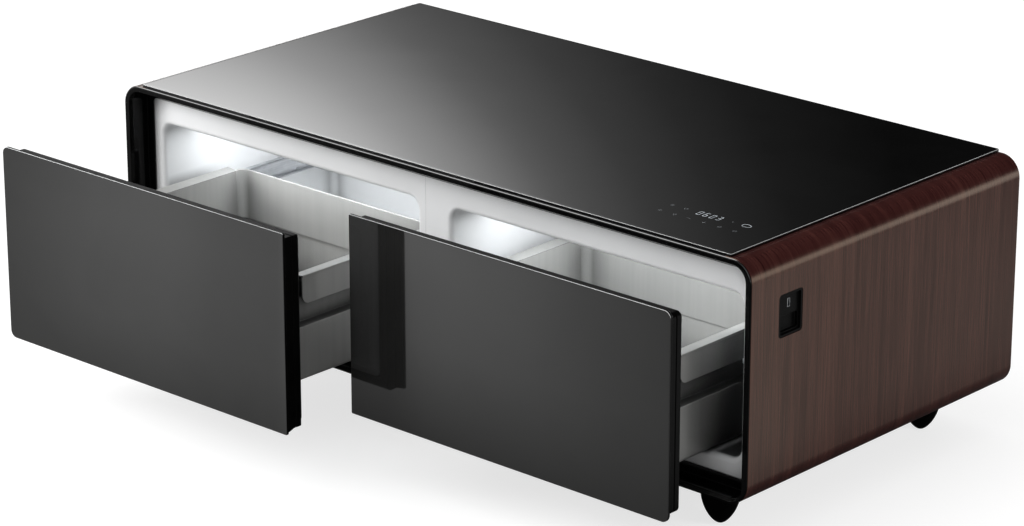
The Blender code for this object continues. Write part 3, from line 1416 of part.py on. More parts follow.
def hanging_skirt(word, middle, hand, parent):
    """Sheet that leaves the upper wall at the rim and hangs down outside the slide."""
    wall = BASKET_WALL
    outer = BASKET_HALF
    top = BASKET_HIGH_Z
    low = top - SKIRT_HEIGHT
    root = UPPER_HALF - wall / 2
    section = [
        (root, top), (root, top - wall), (outer - wall, top - wall), (outer - wall, low), (outer, low),
        (outer, top - BASKET_BEAD_HEIGHT - BASKET_BEAD), (outer + BASKET_BEAD, top - BASKET_BEAD_HEIGHT),
        (outer + BASKET_BEAD, top),
    ]
    section = [(middle + hand * a, b) for a, b in section]
    back = BASKET_BACK - BASKET_SHELF_END - BASKET_CORNER
    loops = [upright(section, SKIRT_START), upright(section, back)]
    label = word + ("_left_skirt" if hand < 0 else "_right_skirt")
    sheet = loft(label, loops, parent, None, smooth=False)
    trim = [sideways(skirt_corner(), middle + hand * reach) for reach in (outer - wall * 2, outer + wall)]
    cut(sheet, loft(label + "_corner", trim, parent, None))
    return sheet


def skirt_corner():
    """What is trimmed from the skirt's lower front corner to round it."""
    low = BASKET_HIGH_Z - SKIRT_HEIGHT
    points = [(SKIRT_START - CUT_OVERRUN, low - CUT_OVERRUN), (SKIRT_START + SKIRT_RADIUS, low - CUT_OVERRUN)]
    for step in range(CORNER_STEPS + 1):
        angle = math.radians(270 - 90 * step / CORNER_STEPS)
        points.append((
            SKIRT_START + SKIRT_RADIUS + SKIRT_RADIUS * math.cos(angle),
            low + SKIRT_RADIUS + SKIRT_RADIUS * math.sin(angle),
        ))
    points.append((SKIRT_START - CUT_OVERRUN, low + SKIRT_RADIUS))
    return points


def rail_place():
    """Distance across, from the drawer's middle, of the bar that carries each slide."""
    return UPPER_HALF + GAP


def rail_outline(middle, hand):
    """Section of the drawer rail: a tall bar with two flanges."""
    near = rail_place()
    bar = near + RAIL_BAR_THICK
    reach = bar + RAIL_REACH
    top = BASKET_HIGH_Z - BASKET_WALL - GAP
    half = RAIL_HALF_HEIGHT
    thick = MEMBER_THICK
    points = [
        (near, RAIL_Z - half), (reach, RAIL_Z - half), (reach, RAIL_Z - half + thick),
        (bar, RAIL_Z - half + thick), (bar, RAIL_Z + half - thick),
        (reach, RAIL_Z + half - thick), (reach, RAIL_Z + half), (bar, RAIL_Z + half),
        (bar, top), (near, top),
    ]
    return [(middle + hand * a, b) for a, b in points]


def member_outline(middle, hand, order):
    """Section of a slide member that wraps the one before it. Order 1 is the middle member."""
    step = MEMBER_GAP + MEMBER_THICK
    web_near = rail_place() + RAIL_BAR_THICK + RAIL_REACH + MEMBER_GAP + (order - 1) * step
    web_far = web_near + MEMBER_THICK
    tip = rail_place() + RAIL_BAR_THICK + MEMBER_GAP * 2
    half = RAIL_HALF_HEIGHT + MEMBER_GAP + (order - 1) * step
    outer = half + MEMBER_THICK
    points = [
        (tip, RAIL_Z - outer), (web_far, RAIL_Z - outer), (web_far, RAIL_Z + outer), (tip, RAIL_Z + outer),
        (tip, RAIL_Z + half), (web_near, RAIL_Z + half), (web_near, RAIL_Z - half), (tip, RAIL_Z - half),
    ]
    return [(middle + hand * a, b) for a, b in points]


def slide_members(word, side, cabinet, carriage, runner, looks):
    middle = side * BASKET_MIDDLE_X
    plate_front = DOOR_DEPTH + GAP + LINER_PLUG_DEPTH + GAP
    for hand, place in ((-side, "inner"), (side, "outer")):
        label = word + "_" + place
        outline = rail_outline(middle, hand)
        rail = loft(
            label + "_drawer_rail", [upright(outline, plate_front), upright(outline, RAIL_END)],
            carriage, looks["plastic"], smooth=False,
        )
        near = middle + hand * (rail_place() + RAIL_BAR_THICK / 2)
        far = middle + hand * (rail_place() + RAIL_PLATE_WIDTH)
        low = (min(near, far), plate_front, RAIL_Z - RAIL_PLATE_HEIGHT / 2)
        high = (max(near, far), plate_front + RAIL_PLATE_THICK, RAIL_Z + RAIL_PLATE_HEIGHT / 2)
        fuse(rail, block(label + "_rail_plate", low, high, carriage, None))

        outline = member_outline(middle, hand, 1)
        length = RAIL_END - FIXED_START
        loops = [upright(outline, FIXED_START), upright(outline, FIXED_START + length)]
        loft(label + "_middle_member", loops, runner, looks["steel"], smooth=False)
        fixed_member(label, side, hand, middle, cabinet, looks)


def fixed_member(label, side, hand, middle, cabinet, looks):
    """Cabinet member with two brackets that pass under the skirt to the liner's wall."""
    outline = member_outline(middle, hand, 2)
    loops = [upright(outline, FIXED_START), upright(outline, FIXED_END)]
    made = loft(label + "_fixed_member", loops, cabinet, looks["steel"], smooth=False)
    web_far = rail_place() + RAIL_BAR_THICK + RAIL_REACH + 2 * (MEMBER_GAP + MEMBER_THICK)
    web_near = web_far - MEMBER_THICK
    outer = RAIL_HALF_HEIGHT + 2 * (MEMBER_GAP + MEMBER_THICK)
    wall_x = THROAT_OUTER_X if hand == side else THROAT_INNER_X
    wall = abs(side * wall_x - middle) - GAP
    thick = BRACKET_THICK
    shelf = RAIL_Z - outer - BRACKET_DROP
    section = [
        (web_near, RAIL_Z - outer + MEMBER_THICK / 2), (web_near, shelf - thick),
        (wall, shelf - thick), (wall, shelf + BRACKET_RISE), (wall - thick, shelf + BRACKET_RISE),
        (wall - thick, shelf), (web_far, shelf), (web_far, RAIL_Z - outer + MEMBER_THICK / 2),
    ]
    section = [(middle + hand * a, b) for a, b in section]
    length = FIXED_END - FIXED_START
    for number, share in enumerate(BRACKET_PLACES_SHARES):
        start = FIXED_START + length * share - BRACKET_WIDTH / 2
        loops = [upright(section, start), upright(section, start + BRACKET_WIDTH)]
        fuse(made, loft(label + "_bracket_" + str(number + 1), loops, cabinet, None, smooth=False))


def drawer(word, side, opening, cabinet, looks):
    carriage = group(word + "_drawer_carriage", (0, FRONT_Y - opening, 0))
    runner = group(word + "_slide_runner", (0, FRONT_Y - opening / 2, 0))
    drawer_front(word, side, carriage, looks)
    basket(word, side, carriage, looks)
    slide_members(word, side, cabinet, carriage, runner, looks)


def build():
    clear_scene()
    looks = make_materials()
    cabinet = group("cabinet", (0, FRONT_Y, 0))
    cabinet_skin(cabinet, looks)
    touch_panel(cabinet, looks)
    insulation(cabinet, looks)
    liners(cabinet, looks)
    charging_module(cabinet, looks)
    feet(cabinet, looks)
    back_panel(cabinet, looks)
    compressor(cabinet, looks)
    condenser(cabinet, looks)
    condenser_fan(cabinet, looks)
    plant_pipes(cabinet, looks)
    control_box(cabinet, looks)
    drawer("left", -1, LEFT_OPENING, cabinet, looks)
    drawer("right", 1, RIGHT_OPENING, cabinet, looks)


build()
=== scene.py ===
import math

import bmesh
import bpy
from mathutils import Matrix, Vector

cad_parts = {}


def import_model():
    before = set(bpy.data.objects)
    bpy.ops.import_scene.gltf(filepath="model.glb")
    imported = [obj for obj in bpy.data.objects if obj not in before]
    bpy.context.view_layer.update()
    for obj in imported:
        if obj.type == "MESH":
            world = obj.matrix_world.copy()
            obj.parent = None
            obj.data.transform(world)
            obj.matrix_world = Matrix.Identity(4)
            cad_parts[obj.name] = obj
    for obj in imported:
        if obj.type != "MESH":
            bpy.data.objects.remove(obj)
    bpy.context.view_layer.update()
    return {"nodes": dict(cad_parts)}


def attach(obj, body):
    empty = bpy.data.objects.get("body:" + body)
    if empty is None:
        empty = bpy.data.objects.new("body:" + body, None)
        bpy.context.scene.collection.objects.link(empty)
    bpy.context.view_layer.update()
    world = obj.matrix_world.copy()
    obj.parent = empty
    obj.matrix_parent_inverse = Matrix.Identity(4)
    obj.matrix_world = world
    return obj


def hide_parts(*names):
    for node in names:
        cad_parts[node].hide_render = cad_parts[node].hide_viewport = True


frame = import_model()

# Refrigerator coffee table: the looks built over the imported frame.
# Metres, +Z up, the front faces -Y. Depths count back from the front face of the rim.
# A box holds the low and high ends of an outline's first direction, then of its second. Rows of sizes
# hold an inset (a negative one grows the outline) and, last, the outline's place.

# Cabinet
SIDES = (("left", -1), ("right", 1))
TABLE_HEIGHT = 0.455
HALF_WIDTH = 0.650
BODY_DEPTH = 0.653
FRONT_Y = -0.1875
BODY_LOW_Z = 0.0765
BODY_HIGH_Z = 0.4502
BODY_BOX = (-HALF_WIDTH, HALF_WIDTH, BODY_LOW_Z, BODY_HIGH_Z)
GAP = 0.0003
TOP_CORNER_RADIUS = 0.034
BOTTOM_CORNER_RADIUS = 0.036
PANEL_THICK = 0.003
PANEL_EDGE = 0.0004
SKIN = 0.0033
DECK_HALF_WIDTH = 0.600
SHELL_BACK = 0.652
BACK_FACE = 0.6495

# Glass top
GLASS_LOW_Z = 0.4505
GLASS_HIGH_Z = TABLE_HEIGHT - 0.0001
GLASS_BOX = (-0.610, 0.610, 0.003, BODY_DEPTH)
GLASS_CORNER = 0.003
GLASS_CAP_INSET = 0.006
GLASS_CHAMFER = 0.0010

# Rim
RIM_FACE_THICK = 0.002
RIM_OPENING = (-0.6365, 0.6365, 0.0834, 0.4379)
RIM_INNER_RADIUS = 0.0215
RIM_DEPTH = 0.0405
RIM_OUTER_EDGE = [(0.0024, 0.0), (0.0007, 0.0006)]
RIM_INNER_EDGE = [(0.0, 0.0050), (-0.0022, 0.0022), (-0.0034, 0.0)]
RIM_SOFTENING = 0.0011
LIP_BOX = (-0.6229, 0.6229, 0.0994, 0.4219)
LIP_RADIUS = 0.008
LIP_ROOT = 0.004
LIP_FRONT = 0.0032
LIP_THICK = 0.0012
LIP_ROOT_RISE = 0.0010

# Liners
FLANGE_FRONT = 0.0408
FLANGE_BACK = 0.0433
FLANGE_COVER = 0.008
FLANGE_CORNER = 0.002
SEAM_OFFSET = 0.018
THROAT_BOX = (0.036, 0.603, 0.126, 0.381)
THROAT_MIDDLE_X = (THROAT_BOX[0] + THROAT_BOX[1]) / 2
THROAT_LIP = 0.0085
THROAT_RADIUS = 0.018
LINER_WALL = 0.002
LINER_BACK = 0.430
LINER_BACK_RADIUS = 0.012
LINER_CAP_INSET = 0.030
LENS_TOP_Z = THROAT_BOX[3] - GAP
LENS_BOX = (0.066, 0.080, LENS_TOP_Z - 0.007, LENS_TOP_Z)
LENS_CORNER = 0.0030
LENS_SQUARE = 0.0004
LENS_ENDS = [(0.0020, 0.120), (0.0006, 0.1194), (0.0, 0.118)]

# Drawers
DRAWER_OPENINGS = (0.278, 0.149)
FRONT_BOX = (0.0042, 0.6279, 0.0956, 0.4142)
FRONT_CORNER = 0.012
FRONT_SQUARE = 0.0022
FRONT_GLASS_THICK = 0.0050
FRONT_CAP_INSET = 0.010
DOOR_BOX = (0.0058, 0.6208, 0.1012, 0.4048)
DOOR_CORNER = 0.009
DOOR_SQUARE = 0.002
DOOR_DEPTH = 0.0353
DOOR_EDGE = 0.0030
DOOR_SCOOP_DEPTH = 0.0165
DOOR_SCOOP_EDGE = 0.0015
DOOR_SCOOP_DROP = 0.0033
DOOR_GROOVE = 0.0015
DOOR_GROOVE_DEPTHS = (0.0208, 0.0228)
DOOR_GROOVE_SLOPE = 0.0002
GASKET_CORNERS = (0.004, 0.003)
INNER_PANEL_RISE = 0.0105

# Baskets
BASKET_MIDDLE_X = 0.3175
BASKET_HALF = 0.2315
UPPER_HALF = 0.2127
BASKET_LOW_Z = 0.1275
BASKET_STEP_Z = 0.2155
BASKET_HIGH_Z = 0.2970
BASKET_FRONT = 0.050
BASKET_BACK = 0.425
BASKET_WALL = 0.0025
BASKET_CORNER = 0.014
BASKET_BEND = 0.008
BASKET_SHELF_END = 0.002
BASKET_CAP_INSET = 0.02
BEAD = 0.0010
BEAD_HEIGHT = 0.0030
SKIRT_START = 0.119
SKIRT_HEIGHT = 0.0464
SKIRT_CORNER = 0.014
SKIRT_BACK_INSET = 0.016
RIM_DROP = 0.0020

# Feet and power module
FOOT_RADIUS = 0.0305
FOOT_BASE_RADIUS = 0.004
FOOT_SWELL_HEIGHT = 0.055
FOOT_X = 0.539
FOOT_DEPTHS = {"front": 0.0795, "rear": 0.5735}
MODULE_BOX = (0.0653, 0.1193, 0.3195, 0.3850)
MODULE_CORNER = 0.006
MODULE_RECESS = 0.0045
MODULE_THICK = 0.024
SOCKET_HEIGHT_SHARE = 0.73
SOCKET_HALVES = (0.00285, 0.00655)
TRAY_MARGIN = 0.006
TRAY_HEIGHT = 0.0245
TRAY_CORNER = 0.0035
SCREW_RADIUS = 0.0036

# Display
DIGIT_X = 0.4612
DIGIT_DEPTH = 0.1047
DIGIT_STEP = 0.0122
DIGIT_SIZE = (0.0056, 0.0140)
DIGIT_LINE = 0.00048
KEY_SIZE = 0.0034
KEY_LINE = 0.00045
NEAR_KEYS_DEPTH = 0.0835
NEAR_KEYS_X = (0.4117, 0.4398, 0.4659, 0.4947, 0.5233, 0.5516)
FAR_KEYS_DEPTH = 0.1130
FAR_KEYS_X = (0.4113, 0.4369, 0.5243)
POWER_RING_X = 0.5498
POWER_RING_RADII = (0.0074, 0.0056)
POWER_RING_LINE = 0.00042

# Studio. Greys and colours are linear. Stops hold a place and a value.
CAMERA_PLACE = (3.7734, -4.1369, 2.2487)
CAMERA_TILT = math.pi / 2 - 0.3434
CAMERA_TURN = 0.7359
CAMERA_LENS = 133.9
AMBIENT = 0.92
FLOOR_RADIUS = 60.0
FLOOR_TONE = 0.36
# Seen in reflections the floor is darker, and darker still under the table: a painted shadow. The pool is
# painted light.
FLOOR_REFLECTED_TONE = 0.20
FLOOR_PAINTED_SHADOW_TONE = 0.08
FLOOR_GLOW = 0.72
UNDER_HALF_WIDTHS = (0.80, 0.62)
UNDER_HALF_DEPTHS = (0.50, 0.36)
UNDER_MIDDLE_Y = 0.14
POOL_GLOW = 0.88
POOL_ACROSS = [
    (-0.26, 0.0), (-0.19, 0.10), (-0.04, 0.62), (0.04, 0.78), (0.12, 0.85), (0.20, 0.69), (0.30, 0.64),
    (0.36, 1.08), (0.40, 1.11), (0.53, 0.90), (0.65, 0.52), (0.77, 0.28), (0.95, 0.0),
]
POOL_AWAY = [
    (0.42, 0.0), (0.50, 0.11), (0.80, 0.73), (0.92, 0.85), (1.15, 1.0), (1.30, 0.96), (1.60, 0.70),
    (2.40, 0.0),
]


def rgba(tone):
    """A colour with full alpha, from a grey or from red, green and blue."""
    return (*tone, 1.0) if isinstance(tone, tuple) else (tone, tone, tone, 1.0)


class Nodes:
    """A node tree. An input takes another node's output or a plain value, a colour input also a grey."""

    def __init__(self, tree):
        self.tree = tree

    def feed(self, socket, value):
        if isinstance(value, bpy.types.NodeSocket):
            self.tree.links.new(value, socket)
        else:
            socket.default_value = rgba(value) if socket.type == "RGBA" else value

    def node(self, kind, inputs=(), **settings):
        made = self.tree.nodes.new(kind)
        for key, value in settings.items():
            setattr(made, key, value)
        for key, value in dict(inputs).items():
            self.feed(made.inputs[key], value)
        return made

    def math(self, operation, first, second):
        return self.node("ShaderNodeMath", {0: first, 1: second}, operation=operation).outputs["Value"]

    def product(self, first, *others):
        for other in others:
            first = self.math("MULTIPLY", first, other)
        return first

    def total(self, first, *others):
        for other in others:
            first = self.math("ADD", first, other)
        return first

    def dot(self, source, vector):
        return self.node("ShaderNodeVectorMath", {0: source, 1: vector}, operation="DOT_PRODUCT").outputs[1]

    def rays(self):
        """Whether a surface is seen directly or through glass, and whether in a reflection."""
        path = self.node("ShaderNodeLightPath").outputs
        return self.math("MAXIMUM", path["Is Camera Ray"], path["Is Transmission Ray"]), path["Is Glossy Ray"]

    def span(self, source, low, high, start=0.3, end=0.7, **settings):
        """A value from low to high while the source goes from start to end."""
        sizes = {"Value": source, "From Min": start, "From Max": end, "To Min": low, "To Max": high}
        return self.node("ShaderNodeMapRange", sizes, **settings).outputs["Result"]

    def smooth_span(self, source, low, high, start, end):
        return self.span(source, low, high, start, end, interpolation_type="SMOOTHSTEP")

    def ramp(self, source, stops):
        made = self.node("ShaderNodeValToRGB", {"Fac": source})
        line = made.color_ramp
        while len(line.elements) < len(stops):
            line.elements.new(0.5)
        for element, (place, tone) in zip(line.elements, stops):
            element.position = place
            element.color = rgba(tone)
        return made.outputs["Color"]

    def curve(self, source, stops):
        """A value that follows stops along the source. It may rise above 1."""
        start, end = stops[0][0], stops[-1][0]
        top = max(value for place, value in stops)
        shares = [((place - start) / (end - start), value / top) for place, value in stops]
        return self.product(self.ramp(self.span(source, 0.0, 1.0, start, end), shares), top)


class Recipe(Nodes):
    """The nodes of a material around its Principled shader."""

    def __init__(self, name, roughness=0.4, metallic=0.0, ior=1.5):
        self.material = bpy.data.materials.new(name)
        self.material.use_nodes = True
        super().__init__(self.material.node_tree)
        self.shader = self.tree.nodes["Principled BSDF"]
        self.set("Roughness", roughness)
        self.set("Metallic", metallic)
        self.set("IOR", ior)
        self.place = self.tree.nodes.new("ShaderNodeTexCoord").outputs["Object"]

    def set(self, name, value):
        self.feed(self.shader.inputs[name], value)

    def stretched(self, scale):
        if not scale:
            return self.place
        return self.node("ShaderNodeMapping", {"Vector": self.place, "Scale": scale}).outputs["Vector"]

    def noise(self, scale, detail=3.0, rough=0.55, stretch=None, distortion=0.0):
        sizes = {"Scale": scale, "Detail": detail, "Roughness": rough, "Distortion": distortion}
        return self.node("ShaderNodeTexNoise", {"Vector": self.stretched(stretch), **sizes}).outputs["Fac"]

    def cells(self, scale, stretch=None):
        return self.node("ShaderNodeTexVoronoi", {"Vector": self.stretched(stretch), "Scale": scale}).outputs

    def parts(self):
        """X, Y and Z of the place on the object."""
        return self.node("ShaderNodeSeparateXYZ", {0: self.place}).outputs

    def blend(self, *pairs):
        """Sum of sources, each with its share."""
        return self.total(*[self.product(source, share) for source, share in pairs])

    def mixed(self, factor, first, second, blend="MIX"):
        inputs = {0: factor, 6: first, 7: second}
        return self.node("ShaderNodeMix", inputs, data_type="RGBA", blend_type=blend).outputs[2]

    def shaded(self, source, reach, darkest, start, end, where=1.0):
        """Paints shade into a colour where nearby surfaces close it in."""
        made = self.node("ShaderNodeAmbientOcclusion", {"Distance": reach}, samples=12)
        return self.mixed(where, source, self.span(made.outputs["AO"], darkest, 1.0, start, end), "MULTIPLY")

    def colour(self, source):
        self.set("Base Color", source)

    def tones(self, source, dark, light, start=0.3, end=0.7):
        return self.ramp(source, [(start, dark), (end, light)])

    def roughness(self, source, low, high):
        self.set("Roughness", self.span(source, low, high))

    def bump(self, source, strength, distance):
        made = self.node("ShaderNodeBump", {"Strength": strength, "Distance": distance, "Height": source})
        self.set("Normal", made.outputs["Normal"])

    def glow(self, tone, strength):
        self.set("Emission Color", tone)
        self.set("Emission Strength", strength)


def speckled(name, dark, light, scale, roughness, spread, relief, stretch=None, **more):
    """A plain finish with mild tone, gloss and relief variation."""
    made = Recipe(name, **more)
    broad = made.noise(scale / 12, 2.0, stretch=stretch)
    fine = made.noise(scale, 4.0, stretch=stretch)
    blend = made.blend((broad, 0.6), (fine, 0.4))
    made.colour(made.tones(blend, dark, light, 0.35, 0.65))
    made.roughness(blend, roughness - spread, roughness + spread)
    made.bump(fine, relief, 0.0004)
    return made.material


def wood_look(name):
    """Dark veneer. Its grain runs up the sides and from side to side on the top edge."""
    made = Recipe(name, ior=1.44)
    made.set("Specular Tint", (1.0, 0.72, 0.44))
    slow = made.noise(1.0, 3.0, 0.5, stretch=(2.0, 11.0, 0.9), distortion=0.8)
    figure = made.noise(1.0, 4.0, 0.6, stretch=(5.0, 70.0, 2.2), distortion=0.5)
    fibre = made.noise(1.0, 4.0, 0.6, stretch=(14.0, 420.0, 7.0), distortion=0.15)
    pores = made.noise(1.0, 2.0, 0.5, stretch=(34.0, 1100.0, 20.0))
    grain = made.blend((slow, 0.14), (figure, 0.42), (fibre, 0.44))
    tone = made.ramp(grain, [
        (0.34, (0.0175, 0.0045, 0.0046)), (0.46, (0.0325, 0.0090, 0.0084)),
        (0.54, (0.0450, 0.0130, 0.0116)), (0.68, (0.0710, 0.0230, 0.0190)),
    ])
    depth = made.tones(pores, (0.62, 0.58, 0.60), 1.0, 0.38, 0.50)
    made.colour(made.mixed(0.6, tone, depth, "MULTIPLY"))
    made.roughness(figure, 0.17, 0.27)
    made.set("Specular IOR Level", made.span(grain, 0.38, 0.60, 0.38, 0.62))
    made.bump(made.blend((pores, 0.6), (fibre, 1.0)), 0.08, 0.0002)
    return made.material


def glass_look(name, dark, light):
    made = Recipe(name, ior=1.52)
    haze = made.noise(5.0, 4.0, 0.6, distortion=0.8)
    dust = made.noise(900.0, 2.0)
    made.colour(made.tones(made.blend((haze, 0.8), (dust, 0.2)), dark, light, 0.35, 0.65))
    made.roughness(haze, 0.025, 0.055)
    return made.material


def steel_look(name):
    made = Recipe(name, metallic=1.0)
    spangle = made.cells(160.0, stretch=(1.0, 0.45, 1.0))
    drawn = made.noise(1.0, 3.0, stretch=(260.0, 7.0, 260.0))
    tone = made.tones(drawn, (0.44, 0.45, 0.47), (0.63, 0.64, 0.66))
    made.colour(made.mixed(0.25, tone, made.tones(spangle["Color"], 0.38, 0.62, 0.2, 0.8), "OVERLAY"))
    made.roughness(drawn, 0.24, 0.38)
    made.bump(drawn, 0.05, 0.0002)
    return made.material


def liner_look(name):
    """White plastic, with painted shade in narrow gaps and most of all low at the front, beside a basket."""
    made = Recipe(name)
    broad = made.noise(9.0, 2.0)
    fine = made.noise(520.0, 3.0)
    tone = made.tones(broad, (0.79, 0.795, 0.80), (0.83, 0.835, 0.84))
    # Mask for a painted shadow in the slide gap beside a basket, low and near the front of the tub.
    parts = made.parts()
    inside = made.span(parts["Y"], 0.0, 1.0, FRONT_Y + 0.044, FRONT_Y + 0.052)
    near = made.span(parts["Y"], 1.0, 0.0, FRONT_Y + 0.110, FRONT_Y + 0.190)
    low = made.span(parts["Z"], 1.0, 0.0, 0.255, 0.290)
    aside = made.span(made.math("ABSOLUTE", parts["X"], 0.0), 0.0, 1.0, 0.545, 0.560)
    tone = made.shaded(tone, 0.13, 0.03, 0.45, 0.88, made.product(inside, near, low, aside))
    # Painted shade wherever nearby surfaces close the liner in.
    made.colour(made.shaded(tone, 0.05, 0.20, 0.40, 0.85))
    made.roughness(broad, 0.31, 0.38)
    made.bump(fine, 0.06, 0.0003)
    return made.material


def basket_look(name):
    """Smooth grey coating, soft metallic sheen, faint upright streaks, painted shade where it is closed in.
    """
    made = Recipe(name, metallic=0.35)
    drift = made.noise(3.0, 1.0)
    fine = made.noise(900.0, 2.0)
    drawn = made.noise(1.0, 2.0, stretch=(95.0, 95.0, 2.5))
    tone = made.tones(drift, (0.400, 0.398, 0.386), (0.430, 0.428, 0.415), 0.2, 0.8)
    tone = made.mixed(1.0, tone, made.tones(drawn, 0.93, 1.0), "MULTIPLY")
    # Painted shade where nearby surfaces close the basket in.
    made.colour(made.shaded(tone, 0.09, 0.06, 0.38, 0.88))
    made.roughness(drift, 0.34, 0.37)
    made.bump(fine, 0.03, 0.0001)
    return made.material


def board_look(name):
    made = Recipe(name, roughness=0.35)
    tracks = made.node("ShaderNodeTexBrick", {
        "Vector": made.place, "Scale": 55.0, "Mortar Size": 0.035, "Color1": (0.012, 0.085, 0.045),
        "Color2": (0.010, 0.070, 0.038), "Mortar": (0.03, 0.15, 0.08),
    }).outputs
    made.colour(made.mixed(0.6, tracks["Color"], made.tones(made.noise(400.0), 0.8, 1.1), "MULTIPLY"))
    made.bump(tracks["Fac"], 0.3, 0.0002)
    return made.material


def foam_look(name):
    made = Recipe(name, roughness=0.9)
    made.colour(made.tones(made.noise(60.0, 4.0), (0.60, 0.46, 0.22), (0.78, 0.66, 0.38)))
    made.bump(made.cells(420.0)["Distance"], 0.5, 0.001)
    return made.material


def light_look(name):
    made = Recipe(name, roughness=0.35)
    made.colour(made.tones(made.noise(30.0, 1.0), (0.90, 0.93, 0.97), (0.92, 0.95, 0.99), 0.2, 0.8))
    made.glow((0.90, 0.95, 1.0), 3.0)
    return made.material


def glyph_look(name, tone, strength):
    made = Recipe(name, roughness=0.5)
    made.colour(made.tones(made.noise(600.0), tuple(0.7 * value for value in tone), tone))
    made.glow(tone, strength)
    return made.material


# Dark tone, light tone, grain scale, roughness, its spread, relief and what else is set.
PLAIN_FINISHES = {
    # The pale edge look goes only on chamfers that face up: partly a ground glass edge, partly a painted
    # highlight.
    "ground_edge_and_painted_highlight": ((0.42, 0.43, 0.43), (0.62, 0.63, 0.63), 900.0, 0.30, 0.06, 0.05, {}),
    "gloss_black": (0.0012, 0.0024, 260.0, 0.12, 0.03, 0.01, {"ior": 1.20}),
    "screw_black": ((0.010, 0.010, 0.011), (0.020, 0.020, 0.021), 700.0, 0.30, 0.06, 0.05, {"metallic": 0.6}),
    # A copy of gloss_black that reflects more, for the rim's up-facing edges: a painted highlight.
    "rim_edge_highlight": (0.0030, 0.0050, 260.0, 0.14, 0.03, 0.01, {"ior": 1.75}),
    "dull_black": (0.0014, 0.0028, 500.0, 0.36, 0.05, 0.04, {"ior": 1.12}),
    "black_plastic": (0.005, 0.010, 900.0, 0.42, 0.08, 0.25, {"ior": 1.35}),
    "black_rubber": (0.009, 0.018, 500.0, 0.72, 0.08, 0.20, {}),
    "painted_black": ((0.009, 0.009, 0.0095), (0.017, 0.017, 0.018), 1100.0, 0.45, 0.07, 0.30, {}),
    "copper_pipe": ((0.48, 0.20, 0.11), (0.78, 0.40, 0.25), 90.0, 0.26, 0.10, 0.05, {"metallic": 1.0}),
    "contact_gold": ((0.62, 0.42, 0.16), (0.80, 0.58, 0.26), 300.0, 0.25, 0.06, 0.05, {"metallic": 1.0}),
    "aluminium": (
        (0.58, 0.59, 0.60), (0.74, 0.75, 0.76), 120.0, 0.34, 0.08, 0.05,
        {"metallic": 1.0, "stretch": (1.0, 6.0, 6.0)},
    ),
}
LOOKS = {name: speckled(name, *sizes, **more) for name, (*sizes, more) in PLAIN_FINISHES.items()}
for look_name, make in {
    "dark_wood_veneer": wood_look, "zinc_steel": steel_look, "liner_white": liner_look,
    "basket_grey": basket_look, "circuit_board": board_look, "insulation_foam": foam_look,
    "light_diffuser": light_look,
}.items():
    LOOKS[look_name] = make(look_name)
LOOKS["black_glass"] = glass_look("black_glass", 0.0012, 0.0026)
LOOKS["front_glass"] = glass_look("front_glass", (0.0130, 0.0130, 0.0127), (0.0165, 0.0165, 0.0160))
LOOKS["lit_digits"] = glyph_look("lit_digits", (0.80, 0.86, 0.92), 0.40)
LOOKS["dim_icons"] = glyph_look("dim_icons", (0.20, 0.215, 0.23), 0.03)


def arc(a, b, radius, start, turn, steps):
    """Points round a centre, from a start angle through a turn, both in degrees."""
    angles = [math.radians(start + turn * step / steps) for step in range(steps + 1)]
    return [(a + radius * math.cos(angle), b + radius * math.sin(angle)) for angle in angles]


def rounded(box, radii, inset=0.0, steps=12):
    """A box's outline with round corners. Radii: lower right, upper right, upper left, lower left."""
    low_a, high_a, low_b, high_b = box
    if isinstance(radii, (int, float)):
        radii = (radii,) * 4
    corners = ((high_a, low_b, -1, 1), (high_a, high_b, -1, -1), (low_a, high_b, 1, -1), (low_a, low_b, 1, 1))
    points = []
    for index, (a, b, in_a, in_b) in enumerate(corners):
        radius = max(radii[index], 0.0002)
        reach = inset + radius
        points += arc(a + in_a * reach, b + in_b * reach, radius, 90 * index - 90, 90, steps)
    return points


def quarter(steps):
    """One minus the sine and one minus the cosine of angles from 0 to 90 degrees."""
    angles = [math.radians(90 * step / steps) for step in range(steps + 1)]
    return [(1 - math.sin(angle), 1 - math.cos(angle)) for angle in angles]


def upright(points, depth, shift=0.0):
    """Outline in X and Z at a depth."""
    return [Vector((a, FRONT_Y + depth - shift, b)) for a, b in points]


def level(points, height, shift=0.0):
    """Outline in X and depth at a height."""
    return [Vector((a, FRONT_Y + b - shift, height)) for a, b in points]


def sideways(points, across, shift=0.0):
    """Outline in depth and Z at an X."""
    return [Vector((across, FRONT_Y + a - shift, b)) for a, b in points]


def stacked(outline, rows, shift=0.0, placed=upright):
    """Loops from rows that hold what the outline is given and, last, the loop's place."""
    return [placed(outline(*sizes), place, shift) for *sizes, place in rows]


def soften(loops, radius, steps=3, ring=False):
    """Rounds the corners that a run of loops makes, from loop to loop."""
    made = []
    for index, here in enumerate(loops):
        if not ring and index in (0, len(loops) - 1):
            made.append(here)
            continue
        starts, ends = [], []
        bends = False
        for a, b, c in zip(loops[index - 1], here, loops[(index + 1) % len(loops)]):
            one, two = a - b, c - b
            if one.length < 1e-7 or two.length < 1e-7:
                starts.append(b)
                ends.append(b)
                continue
            bends = bends or one.angle(two) < math.radians(164)
            starts.append(b + one.normalized() * min(radius, one.length * 0.45))
            ends.append(b + two.normalized() * min(radius, two.length * 0.45))
        if not bends:
            made.append(here)
            continue
        for step in range(steps + 1):
            t = step / steps
            made.append([
                s * (1 - t) ** 2 + b * (2 * t * (1 - t)) + e * t ** 2 for s, b, e in zip(starts, here, ends)
            ])
    return made


def shade(piece, angle=38):
    piece.data.shade_smooth()
    piece.data.set_sharp_from_angle(angle=math.radians(angle))
    piece.modifiers.new("weighted", "WEIGHTED_NORMAL").keep_sharp = True


def linked(name, data):
    """A new object in the scene, from a bmesh or other data."""
    if isinstance(data, bmesh.types.BMesh):
        mesh = bpy.data.meshes.new(name)
        data.to_mesh(mesh)
        data.free()
        data = mesh
    made = bpy.data.objects.new(name, data)
    bpy.context.scene.collection.objects.link(made)
    return made


